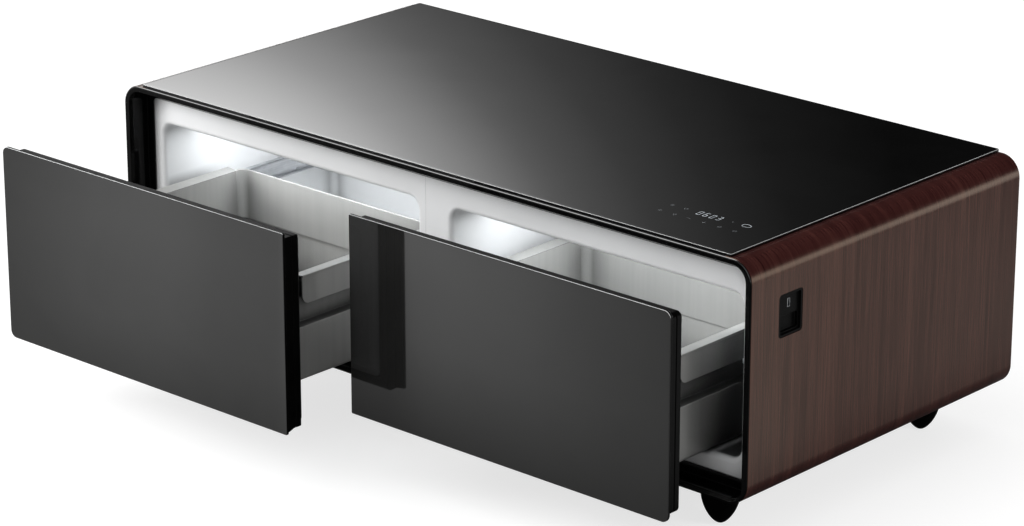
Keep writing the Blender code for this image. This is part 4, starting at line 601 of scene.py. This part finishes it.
def finish(name, mesh, looks, slot=None, node=None, body="cabinet", angle=38, weld=1e-7):
    """Makes an object of a bmesh and, if it has a body, a piece of the visual model."""
    bmesh.ops.remove_doubles(mesh, verts=mesh.verts, dist=weld)
    bmesh.ops.recalc_face_normals(mesh, faces=mesh.faces)
    piece = linked(name, mesh)
    looks = looks if isinstance(looks, list) else [looks]
    for look in looks:
        piece.data.materials.append(LOOKS[look])
    shade(piece, angle)
    if body:
        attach(piece, body)
        slot or looks[0]
    if node:
        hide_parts(node)
    return piece


def skinned(loops, ring=False, mesh=None):
    """A bmesh skin over loops of equal length, closed by end caps or into a ring."""
    mesh = mesh or bmesh.new()
    rows = [[mesh.verts.new(point) for point in loop] for loop in loops]
    count = len(loops[0])
    for near, far in list(zip(rows, rows[1:])) + ([(rows[-1], rows[0])] if ring else []):
        for index in range(count):
            following = (index + 1) % count
            mesh.faces.new((near[index], near[following], far[following], far[index]))
    if not ring:
        mesh.faces.new(rows[0])
        mesh.faces.new(list(reversed(rows[-1])))
    return mesh


def piece(name, loops, looks, node, slot=None, ring=False, **more):
    """A piece in a CAD node's place. Its slot is not used."""
    return finish(name, skinned(loops, ring), looks, slot, node, **more)


def tool(loops):
    """A loose object for a boolean step, removed once used."""
    return finish("tool", skinned(loops), "black_plastic", body=None)


def combine(target, other, operation="DIFFERENCE"):
    """Joins or cuts with a tool, which is then removed."""
    step = target.modifiers.new("combine", "BOOLEAN")
    step.operation = operation
    step.solver = "EXACT"
    step.object = other
    target.modifiers.remove(target.modifiers["weighted"])
    bpy.context.view_layer.update()
    evaluated = target.evaluated_get(bpy.context.evaluated_depsgraph_get())
    mesh = bpy.data.meshes.new_from_object(evaluated)
    target.modifiers.clear()
    target.data = mesh
    bpy.data.objects.remove(other, do_unlink=True)
    shade(target)
    return target


def repaint(piece, look_index, test):
    """Gives another of the piece's looks to faces whose normal passes a test."""
    for face in piece.data.polygons:
        if test(face.normal):
            face.material_index = look_index


def shell_outline(inset):
    low, high = BOTTOM_CORNER_RADIUS - inset, TOP_CORNER_RADIUS - inset
    return rounded(BODY_BOX, (low, high, high, low), inset, 14)


def rim():
    """Black front rim, with the collar that steps in to the lip over the liners' flanges."""
    def opening(inset):
        return rounded(RIM_OPENING, RIM_INNER_RADIUS - inset, inset, 14)

    def lip(inset):
        return rounded(LIP_BOX, LIP_RADIUS - inset, inset, 14)

    shell_rows = RIM_OUTER_EDGE + [(0, RIM_FACE_THICK), (SKIN, RIM_FACE_THICK), (SKIN, RIM_DEPTH)]
    lip_front = RIM_DEPTH - LIP_FRONT
    lip_rows = [
        (-LIP_ROOT, RIM_DEPTH), (0, RIM_DEPTH - LIP_ROOT_RISE), (0, RIM_DEPTH - LIP_ROOT_RISE - LIP_THICK),
    ]
    loops = stacked(shell_outline, shell_rows) + stacked(lip, lip_rows)
    loops += stacked(opening, [(0, lip_front)] + RIM_INNER_EDGE)
    made = piece("front_rim_face", soften(loops, RIM_SOFTENING, 3, True), ["gloss_black", "rim_edge_highlight"],
                 "front_rim", ring=True, angle=50)
    # Faces turned up and forward get the second look: a painted highlight along the rim's edges.
    repaint(made, 1, lambda normal: -0.95 < normal.y < -0.20 and normal.z > 0.15)


def side_panel(name, side, node):
    """Wood panel with both its wraps, as a section that runs from the rim to the back."""
    low, high = BOTTOM_CORNER_RADIUS, TOP_CORNER_RADIUS

    def path(inset):
        points = [(DECK_HALF_WIDTH, BODY_HIGH_Z - inset)]
        points += arc(HALF_WIDTH - high, BODY_HIGH_Z - high, high - inset, 90, -90, 22)
        points += arc(HALF_WIDTH - low, BODY_LOW_Z + low, low - inset, 0, -90, 22)
        return points + [(DECK_HALF_WIDTH, BODY_LOW_Z + inset)]

    def section(edge):
        return mirrored(path(edge) + list(reversed(path(PANEL_THICK - edge))), side)

    start, end = RIM_FACE_THICK + GAP, SHELL_BACK
    rows = [(PANEL_EDGE, start), (0, start + PANEL_EDGE), (0, end - PANEL_EDGE), (PANEL_EDGE, end)]
    panel = piece(name, stacked(section, rows), "dark_wood_veneer", node, "wood_panel")
    if side > 0:
        window = [(-GAP, HALF_WIDTH - 2 * PANEL_THICK), (-GAP, HALF_WIDTH + 0.004)]
        combine(panel, tool(stacked(module_outline, window, placed=sideways)))


def module_outline(inset):
    return rounded(MODULE_BOX, MODULE_CORNER - min(inset, 0.005), inset, 8)


def charging_module():
    """Power module in the right panel: a case with a tray below the socket, and the socket."""
    face, skin, back = HALF_WIDTH - MODULE_RECESS, HALF_WIDTH - PANEL_THICK, HALF_WIDTH - MODULE_THICK
    crest = HALF_WIDTH - 0.0002
    rows = [
        (0.0140, face), (0.0046, face), (0.0038, crest), (0.0006, crest), (0, crest - 0.0006), (0, skin),
        (0.002, skin), (0.002, back), (0.010, back),
    ]
    loops = soften(stacked(module_outline, rows, placed=sideways), 0.0005)
    case = piece("charging_module_case", loops, "dull_black", "charging_module", "gloss_black")
    near, far, bottom, top = MODULE_BOX
    middle = (near + far) / 2
    socket_z = bottom + (top - bottom) * SOCKET_HEIGHT_SHARE
    half, tall = SOCKET_HALVES
    socket_box = (middle - half, middle + half, socket_z - tall, socket_z + tall)
    low = bottom + TRAY_MARGIN
    tray_box = (near + TRAY_MARGIN, far - TRAY_MARGIN, low, low + TRAY_HEIGHT)

    def slot(inset, radius):
        return rounded(socket_box, radius, inset, 6)

    def tray(inset):
        return rounded(tray_box, TRAY_CORNER - min(inset, 0.003), inset, 8)

    hole = [(-GAP, 0.0012, face - 0.0123), (-GAP, 0.0012, face + 0.001)]
    combine(case, tool(stacked(slot, hole, placed=sideways)))
    room = [
        (0.0020, face - 0.0050), (0.0006, face - 0.0045), (0, face - 0.0036), (0, face - 0.0004),
        (-0.0006, face + 0.0004),
    ]
    combine(case, tool(stacked(tray, room, placed=sideways)))

    looks = ["zinc_steel", "black_plastic", "contact_gold"]
    shell = [
        (0, 0.0010, face - 0.012), (0, 0.0010, face - 0.0002), (0.0002, 0.0009, face), (0.0005, 0.0007, face),
        (0.0006, 0.0006, face - 0.0004), (0.0006, 0.0006, face - 0.0110),
    ]
    piece("usb_socket_shell", stacked(slot, shell, placed=sideways), looks, "usb_socket")
    tongue = bmesh.new()
    centre = Vector((face, FRONT_Y + middle, socket_z))
    add_box(tongue, centre, (-0.0112, -0.0009, -0.0046), (-0.0022, 0.0009, 0.0046), 1)
    for row in range(4):
        place = -0.0036 + row * 0.0024
        add_box(tongue, centre, (-0.0100, -0.00105, place - 0.0006), (-0.0030, -0.0008, place + 0.0006), 2)
    made = finish("usb_socket_tongue", tongue, looks)
    made.modifiers.new("edge", "BEVEL").width = 0.00012


def add_box(mesh, centre, low, high, look_index):
    corners = [
        mesh.verts.new(centre + Vector((x, y, z)))
        for z in (low[2], high[2]) for y in (low[1], high[1]) for x in (low[0], high[0])
    ]
    for face in ((0, 2, 3, 1), (4, 5, 7, 6), (0, 1, 5, 4), (2, 6, 7, 3), (0, 4, 6, 2), (1, 3, 7, 5)):
        mesh.faces.new([corners[index] for index in face]).material_index = look_index


def glass_top():
    def outline(inset):
        return rounded(GLASS_BOX, GLASS_CORNER, inset, 8)

    cap = GLASS_CAP_INSET
    rows = [(cap, GLASS_LOW_Z), (0, GLASS_LOW_Z), (0, GLASS_HIGH_Z), (cap, GLASS_HIGH_Z)]
    made = piece("glass_top_plate", soften(stacked(outline, rows, placed=level), GLASS_CHAMFER, 4),
                 ["black_glass", "ground_edge_and_painted_highlight"], "glass_top", "top_glass")
    # Chamfers that face up, not back, get the pale edge look: partly a ground glass edge, partly a painted
    # highlight.
    repaint(made, 1, lambda normal: 0.20 < normal.z < 0.97 and normal.y < 0.25)


def foot(name, across, depth, node):
    """Bullet-shaped foot: a small base that swells quickly and then runs nearly straight up."""
    base, swell, rings, sides = FOOT_BASE_RADIUS, FOOT_SWELL_HEIGHT, 30, 56
    profile = [(base * 0.5, 0.0), (base, 0.0)]
    for ring in range(1, rings + 1):
        rise = swell * (ring / rings) ** 1.7
        share = 1 - (1 - rise / swell) ** 2
        profile.append((base + (FOOT_RADIUS - base) * share ** 0.72, rise))
    profile.append((FOOT_RADIUS, BODY_LOW_Z - GAP))

    def outline(radius):
        return arc(across, depth, radius, 0, 360, sides)[:-1]

    piece(name, stacked(outline, profile, placed=level), "gloss_black", node, "black_plastic", angle=50)


def screw_heads(name, places):
    """Low domed heads with a six-lobed recess, all on the back."""
    mesh = bmesh.new()
    rings = [(1.0, 0.0), (1.0, 0.16), (0.94, 0.26), (0.76, 0.34), (0.50, 0.38), (0.46, 0.37), (0.42, 0.12)]
    angles = [2 * math.pi * step / 36 for step in range(36)]
    for across, height in places:

        def outline(share):
            lobe = 0.16 if share < 0.5 else 0
            reaches = [SCREW_RADIUS * share * (1 + lobe * math.cos(6 * angle)) for angle in angles]
            return [
                (across + reach * math.cos(angle), height + reach * math.sin(angle))
                for reach, angle in zip(reaches, angles)
            ]

        rows = [(share, BACK_FACE + GAP + SCREW_RADIUS * rise) for share, rise in rings]
        skinned(stacked(outline, rows), mesh=mesh)
    finish(name, mesh, "screw_black", "painted_black", weld=1e-8)


def mirrored(points, side):
    return [(side * a, b) for a, b in points]


def liner(name, side, node):
    """Tub of one drawer with its front flange. The seam between the two lies left of the middle."""
    def throat(grow):
        return mirrored(rounded(THROAT_BOX, THROAT_RADIUS + grow, -grow), side)

    cover = FLANGE_COVER
    box = (GAP / 2 - side * SEAM_OFFSET, LIP_BOX[1] + cover, LIP_BOX[2] - cover, LIP_BOX[3] + cover)
    flange = mirrored(rounded(box, FLANGE_CORNER), side)
    wall, lip, bend = LINER_WALL, THROAT_LIP, LINER_BACK_RADIUS
    outer = bend + wall
    turns = quarter(8)
    front = [(-LINER_CAP_INSET, LINER_BACK)]
    front += [(-bend * a, LINER_BACK - bend * b) for a, b in turns]
    front += [(lip * b, FLANGE_FRONT + lip * a) for a, b in turns]
    back = [(lip + wall, FLANGE_BACK), (wall, FLANGE_FRONT + lip + wall)]
    back += [(wall - outer * a, LINER_BACK + wall - outer * b) for a, b in reversed(turns)]
    loops = stacked(throat, front) + [upright(flange, FLANGE_FRONT), upright(flange, FLANGE_BACK)]
    loops += stacked(throat, back)
    piece(name, loops, "liner_white", node, angle=45)


def light_bar(name, side, node):
    def outline(inset):
        front, back, low, high = LENS_BOX
        radii = (LENS_CORNER, LENS_SQUARE, LENS_SQUARE, LENS_CORNER)
        return rounded((front, back, low, high + inset), radii, inset, 8)

    middle = side * THROAT_MIDDLE_X
    rows = [(inset, middle - reach) for inset, reach in LENS_ENDS]
    rows += [(inset, middle + reach) for inset, reach in reversed(LENS_ENDS)]
    piece(name, stacked(outline, rows, placed=sideways), "light_diffuser", node)


def drawer_front(word, side, shift, body):
    """Glass plate, door shell with its scooped bottom, gasket and inner panel of one drawer."""
    def plate(inset):
        corner = FRONT_CORNER - min(inset, 0.008)
        return mirrored(rounded(FRONT_BOX, (corner, corner, FRONT_SQUARE, FRONT_SQUARE), inset), side)

    def shell(inset, drop):
        corner = DOOR_CORNER - min(inset, 0.006)
        inner, outer, low, high = DOOR_BOX
        box = (inner, outer, low - drop, high)
        return mirrored(rounded(box, (corner, corner, DOOR_SQUARE, DOOR_SQUARE), inset), side)

    def plug(corner, inset):
        return mirrored(rounded(DOOR_BOX, corner, inset), side)

    cap, thick = FRONT_CAP_INSET, FRONT_GLASS_THICK
    loops = stacked(plate, [(cap, thick), (0, thick), (0, 0), (cap, 0)], shift)
    looks = ["front_glass", "dull_black", "ground_edge_and_painted_highlight"]
    made = piece(word + "_front_glass", soften(loops, 0.0012, 4), looks, word + "_drawer_glass", body=body)
    repaint(made, 1, lambda normal: abs(normal.y) < 0.30)
    # Chamfers that face up get the pale edge look: partly a ground glass edge, partly a painted highlight.
    repaint(made, 2, lambda normal: 0.30 <= abs(normal.y) < 0.97 and normal.z > 0.25)

    near, drop, slope, groove = thick + GAP, DOOR_SCOOP_DROP, DOOR_GROOVE_SLOPE, DOOR_GROOVE
    groove_front, groove_back = DOOR_GROOVE_DEPTHS
    loops = stacked(shell, [
        (0.008, drop, near), (0.0002, drop, near), (0, drop, near + 0.003),
        (0, drop / 3, DOOR_SCOOP_DEPTH - DOOR_SCOOP_EDGE), (0, 0, DOOR_SCOOP_DEPTH), (0, 0, groove_front),
        (groove, 0, groove_front + slope), (groove, 0, groove_back - slope), (0, 0, groove_back),
        (0, 0, DOOR_DEPTH - DOOR_EDGE), (DOOR_EDGE, 0, DOOR_DEPTH), (0.0100, 0, DOOR_DEPTH),
    ], shift)
    loops = soften(loops, 0.0008)
    piece(word + "_door_shell", loops, "dull_black", word + "_door_body", "gloss_black", body=body)

    back = DOOR_DEPTH + GAP
    crest = FLANGE_FRONT - GAP
    depths = (back, back + 0.0014, back + 0.0018, back + 0.0028, crest - 0.0006, crest)
    outer, inner = GASKET_CORNERS
    rows = list(zip((outer,) * 6, (0.0050, 0.0054, 0.0064, 0.0058, 0.0066, 0.0080), depths))
    rows += zip((inner,) * 6, (0.0140, 0.0154, 0.0162, 0.0156, 0.0166, 0.0170), reversed(depths))
    loops = soften(stacked(plug, rows, shift), 0.0004, 2, True)
    piece(word + "_gasket", loops, "black_rubber", word + "_door_gasket", ring=True, body=body)

    top = back + INNER_PANEL_RISE
    loops = soften(stacked(plug, [
        (0.006, 0.0260, back), (0.011, 0.0176, back), (0.011, 0.0176, back + 0.0020),
        (0.012, 0.0272, top - 0.0044), (0.013, 0.0314, top), (0.013, 0.0460, top),
        (0.012, 0.0490, top - 0.0012), (0.012, 0.0600, top - 0.0012),
    ], shift), 0.0016, 4)
    piece(word + "_inner_door_panel", loops, "liner_white", word + "_door_inner_panel", body=body)


def basket(word, side, shift, body):
    """Stepped tub whose skirts hang over the slides."""
    middle = side * BASKET_MIDDLE_X

    def outline(half, end):
        box = (middle - half, middle + half, BASKET_FRONT + end, BASKET_BACK - end)
        return rounded(box, BASKET_CORNER, steps=10)

    low, step_z, top = BASKET_LOW_Z, BASKET_STEP_Z, BASKET_HIGH_Z
    half, upper, wall = BASKET_HALF, UPPER_HALF, BASKET_WALL
    bend, end, cap = BASKET_BEND, BASKET_SHELF_END, BASKET_BEND + BASKET_CAP_INSET
    turns = quarter(6)
    floor = [(half - wall - cap, wall + cap, low + wall)]
    floor += [(half - wall - bend * a, wall + bend * a, low + wall + bend * b) for a, b in turns]
    walls = [
        (half - wall, wall, low + wall + bend + 0.004), (half - wall, wall, step_z - wall),
        (upper - wall, wall + end, step_z - wall), (upper - wall, wall + end, top), (upper, end - BEAD, top),
        (upper, end - BEAD, top - BEAD_HEIGHT), (upper, end, top - BEAD_HEIGHT - 0.0012),
        (upper, end, step_z), (half, 0, step_z), (half, 0, low + bend + 0.006),
    ]
    under = [(half - bend * a, bend * a, low + bend * b) for a, b in reversed(turns)]
    under.append((half - cap, cap, low))
    floor, walls, under = [stacked(outline, rows, shift, level) for rows in (floor, walls, under)]
    loops = floor + soften(walls, 0.0012) + under
    tub = piece(word + "_basket_tub", loops, "basket_grey", word + "_basket", body=body, angle=45)
    for hand in (-1, 1):
        combine(tub, rim_cut(middle, hand, shift))
        combine(tub, skirt(middle, hand, shift), "UNION")


def rim_cut(middle, hand, shift):
    """Wedge that lowers the upper wall to the foot of the rim's slope, easing in at both ends."""
    near, away, high = UPPER_HALF - BASKET_WALL - 0.004, UPPER_HALF + 0.0004, BASKET_HIGH_Z + 0.020
    slope_foot = UPPER_HALF - BASKET_WALL / 2
    grade = RIM_DROP / (BASKET_HALF - slope_foot)

    def section(raised):
        low = BASKET_HIGH_Z - RIM_DROP - 0.0006 + raised - grade * (slope_foot - near)
        corners = [(near, low), (away, low + grade * (away - near)), (away, high), (near, high)]
        return [(middle + hand * a, b) for a, b in corners]

    shut = RIM_DROP + 0.004
    return tool(stacked(section, [
        (shut, SKIRT_START - 0.032), (0, SKIRT_START + 0.002), (0, BASKET_BACK - 0.018),
        (shut, BASKET_BACK - 0.003),
    ], shift))


def skirt(middle, hand, shift):
    """Sheet that slopes from the upper wall up to a thin rim and hangs down outside the slide."""
    wall, outer, top = BASKET_WALL, BASKET_HALF, BASKET_HIGH_Z
    low, foot_a, bead = top - SKIRT_HEIGHT, UPPER_HALF - wall / 2, outer + BEAD
    path = [
        (foot_a, top - RIM_DROP), (foot_a, top - wall), (outer - wall, top - wall), (outer - wall, low),
        (outer, low), (outer, top - BEAD_HEIGHT - BEAD), (bead, top - BEAD_HEIGHT), (bead, top),
        (outer - 0.0006, top),
    ]
    path = [loop[0] for loop in soften([[Vector(point)] for point in path], 0.0007, 3, ring=True)]
    points = [(middle + hand * a, b) for a, b in path]
    back = BASKET_BACK - SKIRT_BACK_INSET
    sheet = tool([upright(points, SKIRT_START, shift), upright(points, back, shift)])
    radius, spare = SKIRT_CORNER, 0.003
    corner = [(SKIRT_START - spare, low - spare), (SKIRT_START + radius, low - spare)]
    corner += [(SKIRT_START + radius * a, low + radius * b) for a, b in quarter(10)]
    corner.append((SKIRT_START - spare, low + radius))
    ends = [middle + hand * reach for reach in (outer - wall * 2, outer + wall)]
    return combine(sheet, tool([sideways(corner, across, shift) for across in ends]))


BARS = {
    "a": ((0, 1), (1, 1)), "b": ((1, 1), (1, 0.5)), "c": ((1, 0.5), (1, 0)), "d": ((0, 0), (1, 0)),
    "e": ((0, 0.5), (0, 0)), "f": ((0, 1), (0, 0.5)), "g": ((0, 0.5), (1, 0.5)),
}
DIGIT_BARS = {"0": "abcdef", "3": "abcdg", "6": "acdefg"}


def glyph_slab(mesh, points):
    """One flat printed shape: a thin plate just under the top plane."""
    heights = (TABLE_HEIGHT - 0.00012, TABLE_HEIGHT - 0.00003)
    skinned([[(x, y, height) for x, y in points] for height in heights], mesh=mesh)


def stroke(mesh, start, end, width):
    """Straight line with pointed ends."""
    along = (end - start).normalized() * width / 2
    across = Vector((-along.y, along.x))
    glyph_slab(mesh, [
        start - along, start - across, end - across, end + along, end + across, start + across,
    ])


def hoop(mesh, centre, radius_x, radius_y, width, start=0, end=360):
    """Ring or arc, as short slabs."""
    steps = round((end - start) / 15)

    def point(step, grow):
        angle = math.radians(start + (end - start) * step / steps)
        return centre + Vector(((radius_x + grow) * math.cos(angle), (radius_y + grow) * math.sin(angle)))

    half = width / 2
    for step in range(steps):
        glyph_slab(mesh, [
            point(step, -half), point(step, half), point(step + 1, half), point(step + 1, -half),
        ])


def display():
    """Lit digits and key marks under the glass."""
    digits = bmesh.new()
    wide, high = DIGIT_SIZE
    for index, sign in enumerate("0603"):
        corner = Vector((DIGIT_X + index * DIGIT_STEP, FRONT_Y + DIGIT_DEPTH))
        for bar in DIGIT_BARS[sign]:
            start, end = [corner + Vector((a * wide, b * high)) for a, b in BARS[bar]]
            trim = (end - start).normalized() * DIGIT_LINE * 0.75
            stroke(digits, start + trim, end - trim, DIGIT_LINE)
    finish("display_digits", digits, "lit_digits", "light_diffuser", weld=1e-9)

    icons = bmesh.new()
    size, line = KEY_SIZE, KEY_LINE

    def spokes(centre, count):
        for arm in range(count):
            angle = math.pi * arm / count
            tip = Vector((math.cos(angle), math.sin(angle))) * size
            stroke(icons, centre - tip, centre + tip, line)

    def bar(centre, start, end):
        stroke(icons, centre + Vector(start) * size, centre + Vector(end) * size, line)

    star, dial, dash, cross, switch, bell = [Vector((x, FRONT_Y + NEAR_KEYS_DEPTH)) for x in NEAR_KEYS_X]
    spokes(star, 3)
    hoop(icons, dial, size * 0.7, size * 0.7, line)
    bar(dial, (0, -1.2), (0, -0.9))
    bar(dash, (-1, 0), (1, 0))
    spokes(cross, 2)
    hoop(icons, switch, size * 0.8, size * 0.8, line, 120, 420)
    bar(switch, (0, 0.3), (0, 1))
    hoop(icons, bell, size, size * 0.75, line)
    star, dial, dot = [Vector((x, FRONT_Y + FAR_KEYS_DEPTH)) for x in FAR_KEYS_X]
    spokes(star, 3)
    hoop(icons, dial, size * 0.8, size * 0.8, line)
    hoop(icons, dot, 0.0008, 0.0008, line)
    finish("touch_key_marks", icons, "dim_icons", "light_diffuser", weld=1e-9)
    ring = bmesh.new()
    hoop(ring, Vector((POWER_RING_X, FRONT_Y + FAR_KEYS_DEPTH)), *POWER_RING_RADII, POWER_RING_LINE)
    finish("power_key_ring", ring, "lit_digits", "light_diffuser", weld=1e-9)


def smoothing_group():
    """Modifier that welds an imported mesh and smooths it by angle."""
    tree = bpy.data.node_groups.new("smooth_by_angle", "GeometryNodeTree")
    for in_out in ("INPUT", "OUTPUT"):
        tree.interface.new_socket("Geometry", in_out=in_out, socket_type="NodeSocketGeometry")
    made = Nodes(tree)
    source = made.node("NodeGroupInput").outputs[0]
    welded = made.node("GeometryNodeMergeByDistance", {"Geometry": source, "Distance": 0.00001}).outputs[0]
    smooth = made.node("GeometryNodeSetShadeSmooth", {0: welded}).outputs[0]
    angle = made.node("GeometryNodeInputMeshEdgeAngle").outputs["Unsigned Angle"]
    sharp = made.node("FunctionNodeCompare", {0: angle, 1: math.radians(35)}, operation="GREATER_THAN")
    crease = {0: smooth, "Selection": sharp.outputs[0], "Shade Smooth": False}
    crease = made.node("GeometryNodeSetShadeSmooth", crease, domain="EDGE")
    made.node("NodeGroupOutput", {0: crease.outputs[0]})
    return tree


def dress_nodes():
    """Looks and softened edges for the nodes that are kept from the CAD."""
    kept = {
        "black_plastic": ["intake_grille", "exhaust_grille", "mains_inlet", "condenser_fan_shroud",
                          "condenser_fan_rotor", "control_box"],
        "painted_black": ["top_deck", "base_pan", "back_panel", "compressor", "condenser_fan_motor"],
        "zinc_steel": ["machine_bay_bulkhead"],
        "aluminium": ["left_evaporator", "right_evaporator", "condenser"],
        "copper_pipe": ["discharge_pipe", "suction_pipe", "filter_drier"],
        "insulation_foam": ["insulation_foam"],
        "circuit_board": ["touch_control_panel"],
    }
    for place in ("left_inner", "left_outer", "right_inner", "right_outer"):
        kept["black_plastic"].append(place + "_drawer_rail")
        kept["zinc_steel"] += [place + "_middle_member", place + "_fixed_member"]
    smooth = smoothing_group()
    for look, names in kept.items():
        for name in names:
            node = frame["nodes"][name]
            node.data.materials.clear()
            node.data.materials.append(LOOKS[look])
            node.modifiers.new("smooth", "NODES").node_group = smooth
            if look in ("black_plastic", "zinc_steel", "painted_black") and name != "compressor":
                edge = node.modifiers.new("edge", "BEVEL")
                edge.width = 0.0004
                edge.segments = 2
                edge.limit_method = "ANGLE"
                edge.angle_limit = math.radians(40)


def stage():
    """White floor. Seen directly it is plain white with the object's shadow. In reflections it carries
    painted
    light: a pool at the front left, a patch on the right, a glow far away, and painted shadow under the
    table."""
    mesh = bmesh.new()
    bmesh.ops.create_circle(mesh, cap_ends=True, radius=FLOOR_RADIUS, segments=96)
    floor = linked("studio_floor", mesh)
    made = Recipe("studio_floor", roughness=0.9)
    made.set("Specular IOR Level", 0.0)
    seen, glossy = made.rays()
    parts = made.parts()

    def near(centre, low, high, start, end):
        """A value by the distance from a place on the floor."""
        gap = made.node("ShaderNodeVectorMath", {0: made.place, 1: (*centre, 0.0)}, operation="DISTANCE")
        return made.smooth_span(gap.outputs[1], low, high, start, end)

    # Painted shadow under the table, seen only in reflections.
    aside = made.smooth_span(made.math("ABSOLUTE", parts["X"], 0.0), 0.0, 1.0, *UNDER_HALF_WIDTHS)
    from_middle = made.math("ABSOLUTE", made.math("SUBTRACT", parts["Y"], UNDER_MIDDLE_Y), 0.0)
    ahead = made.smooth_span(from_middle, 0.0, 1.0, *UNDER_HALF_DEPTHS)
    reflected_tone = made.mixed(made.product(aside, ahead), FLOOR_REFLECTED_TONE, FLOOR_PAINTED_SHADOW_TONE)
    made.colour(made.mixed(glossy, FLOOR_TONE, reflected_tone))

    # Painted light in reflections: a pool at the front left, a patch on the right and a glow far away.
    across = made.curve(made.dot(made.place, (0.7071, -0.7071, 0.0)), POOL_ACROSS)
    away = made.curve(made.dot(made.place, (0.0, -1.0, 0.0)), POOL_AWAY)
    pool = made.product(across, away, POOL_GLOW)
    edge = made.smooth_span(made.dot(made.place, (-1.26, 1.0, 0.0)), 1.9, 1.0, -1.00, -0.78)
    side = made.product(
        near((1.45, 0.45), 0.41, 0.0, 0.60, 1.50), made.smooth_span(parts["X"], 0.0, 1.0, 0.70, 0.90), edge,
    )
    far = near((0.0, 0.0), 0.0, 2.2, 2.0, 4.5)
    reflected = made.product(glossy, made.total(pool, side, far))
    made.glow(1.0, made.total(made.product(seen, FLOOR_GLOW), reflected))
    floor.data.materials.append(made.material)


def world():
    """White seen directly, a soft sky for light, and a window, box and walls for reflections."""
    sky = bpy.data.worlds.new("studio")
    bpy.context.scene.world = sky
    sky.use_nodes = True
    sky.node_tree.nodes.clear()
    made = Nodes(sky.node_tree)
    direction = made.node("ShaderNodeTexCoord").outputs["Generated"]

    def patch(vector, stops):
        """Light by how closely a direction follows a vector."""
        return made.curve(made.dot(direction, Vector(vector).normalized()), stops)

    window = patch((-0.6939, 0.6098, 0.3830), [
        (0.976, 0.0), (0.982, 0.03), (0.985, 0.08), (0.988, 0.18), (0.990, 0.33), (0.991, 0.45),
        (0.992, 0.73), (0.9935, 1.3), (0.995, 2.4), (0.9956, 3.1), (0.997, 3.3), (1.0, 3.3),
    ])
    front_box = patch((-0.65, -0.34, 0.68), [(0.90, 0.0), (0.95, 5.0), (1.0, 7.0)])
    left_wall = patch((-1.0, 0.0, 0.05), [(0.80, 0.0), (0.90, 0.6), (1.0, 1.0)])
    front_wall = patch((0.1, -1.0, 0.12), [(0.80, 0.0), (0.95, 0.6), (1.0, 0.9)])
    low_glow = patch((0.0, 0.0, 1.0), [(-0.02, 3.2), (0.05, 3.0), (0.12, 1.9), (0.18, 0.6), (0.24, 0.0)])
    back_right = patch((0.70, 0.72, 0.0), [(0.70, 0.0), (0.90, 1.0), (1.0, 1.0)])
    low_glow = made.product(low_glow, back_right)
    reflected = made.total(window, front_box, left_wall, front_wall, low_glow, 0.010)
    soft = patch((-0.72, -0.38, 0.58), [(-1.0, 0.22), (-0.45, 0.26), (0.35, 0.72), (1.0, 1.0)])

    seen, glossy = made.rays()
    ambient = made.product(soft, AMBIENT, made.math("SUBTRACT", 1.0, glossy))
    light = made.total(made.product(glossy, reflected), ambient)
    light = made.total(seen, made.product(made.math("SUBTRACT", 1.0, seen), light))
    background = made.node("ShaderNodeBackground", {"Color": 1.0, "Strength": light})
    made.node("ShaderNodeOutputWorld", {"Surface": background.outputs[0]})


def lamp(name, kind, location, aim, energy, size=None, colour=(1, 1, 1), angle=None):
    data = bpy.data.lights.new(name, kind)
    data.energy = energy
    data.color = colour
    if size:
        data.shape = "RECTANGLE"
        data.size, data.size_y = size
    if angle:
        data.angle = math.radians(angle)
    made = linked(name, data)
    made.location = location
    made.rotation_euler = (Vector(aim) - Vector(location)).to_track_quat("-Z", "Y").to_euler()
    made.visible_glossy = False
    made.visible_camera = False


def lights():
    """Soft key from the front left, two boxes, and two lamps in each tub for its light bar."""
    lamp("soft_key", "SUN", (-2.0, -2.6, 4.2), (0, 0, 0.2), 1.15, angle=50)
    lamp("front_left_box", "AREA", (-1.7, -1.5, 0.90), (-0.5, -0.2, 0.35), 30.0, (0.9, 0.7))
    lamp("side_fill", "AREA", (3.0, 0.4, 1.5), (0.5, -0.2, 0.25), 24.0, (0.8, 0.6))
    for side in (-1, 1):
        x = side * THROAT_MIDDLE_X
        lamp("cooling_light", "AREA", (x, FRONT_Y + 0.100, 0.372), (x, FRONT_Y + 0.42, 0.28), 0.6,
             (0.40, 0.05), (0.93, 0.97, 1.0))
        lamp("cooling_glow", "AREA", (x, FRONT_Y + 0.205, 0.3795), (x, FRONT_Y + 0.225, 0.10), 1.45,
             (0.50, 0.28), (0.95, 0.98, 1.0))


def camera():
    data = bpy.data.cameras.new("studio_camera")
    data.lens = CAMERA_LENS
    made = linked("studio_camera", data)
    made.location = CAMERA_PLACE
    made.rotation_euler = (CAMERA_TILT, 0.0, CAMERA_TURN)
    bpy.context.scene.camera = made


def build():
    camera()
    glass_top()
    rim()
    for word, side in SIDES:
        side_panel(word + "_wood_panel", side, word + "_side_panel")
    charging_module()
    display()
    for word, side in SIDES:
        for end, depth in FOOT_DEPTHS.items():
            name = end + "_" + word + "_foot"
            foot(name + "_cone", side * FOOT_X, depth, name)
    places = [(across, height) for across in (-0.598, -0.30, 0.0, 0.30, 0.598) for height in (0.093, 0.433)]
    screw_heads("back_panel_screws", places + [(-0.634, 0.26), (0.634, 0.26)])
    for (word, side), shift in zip(SIDES, DRAWER_OPENINGS):
        liner(word + "_tub", side, word + "_liner")
        light_bar(word + "_light_lens", side, word + "_light_bar")
        drawer_front(word, side, shift, word + "_drawer")
        basket(word, side, shift, word + "_drawer")
    dress_nodes()
    stage()
    world()
    lights()
    bpy.context.scene.view_settings.view_transform = "Standard"


build()
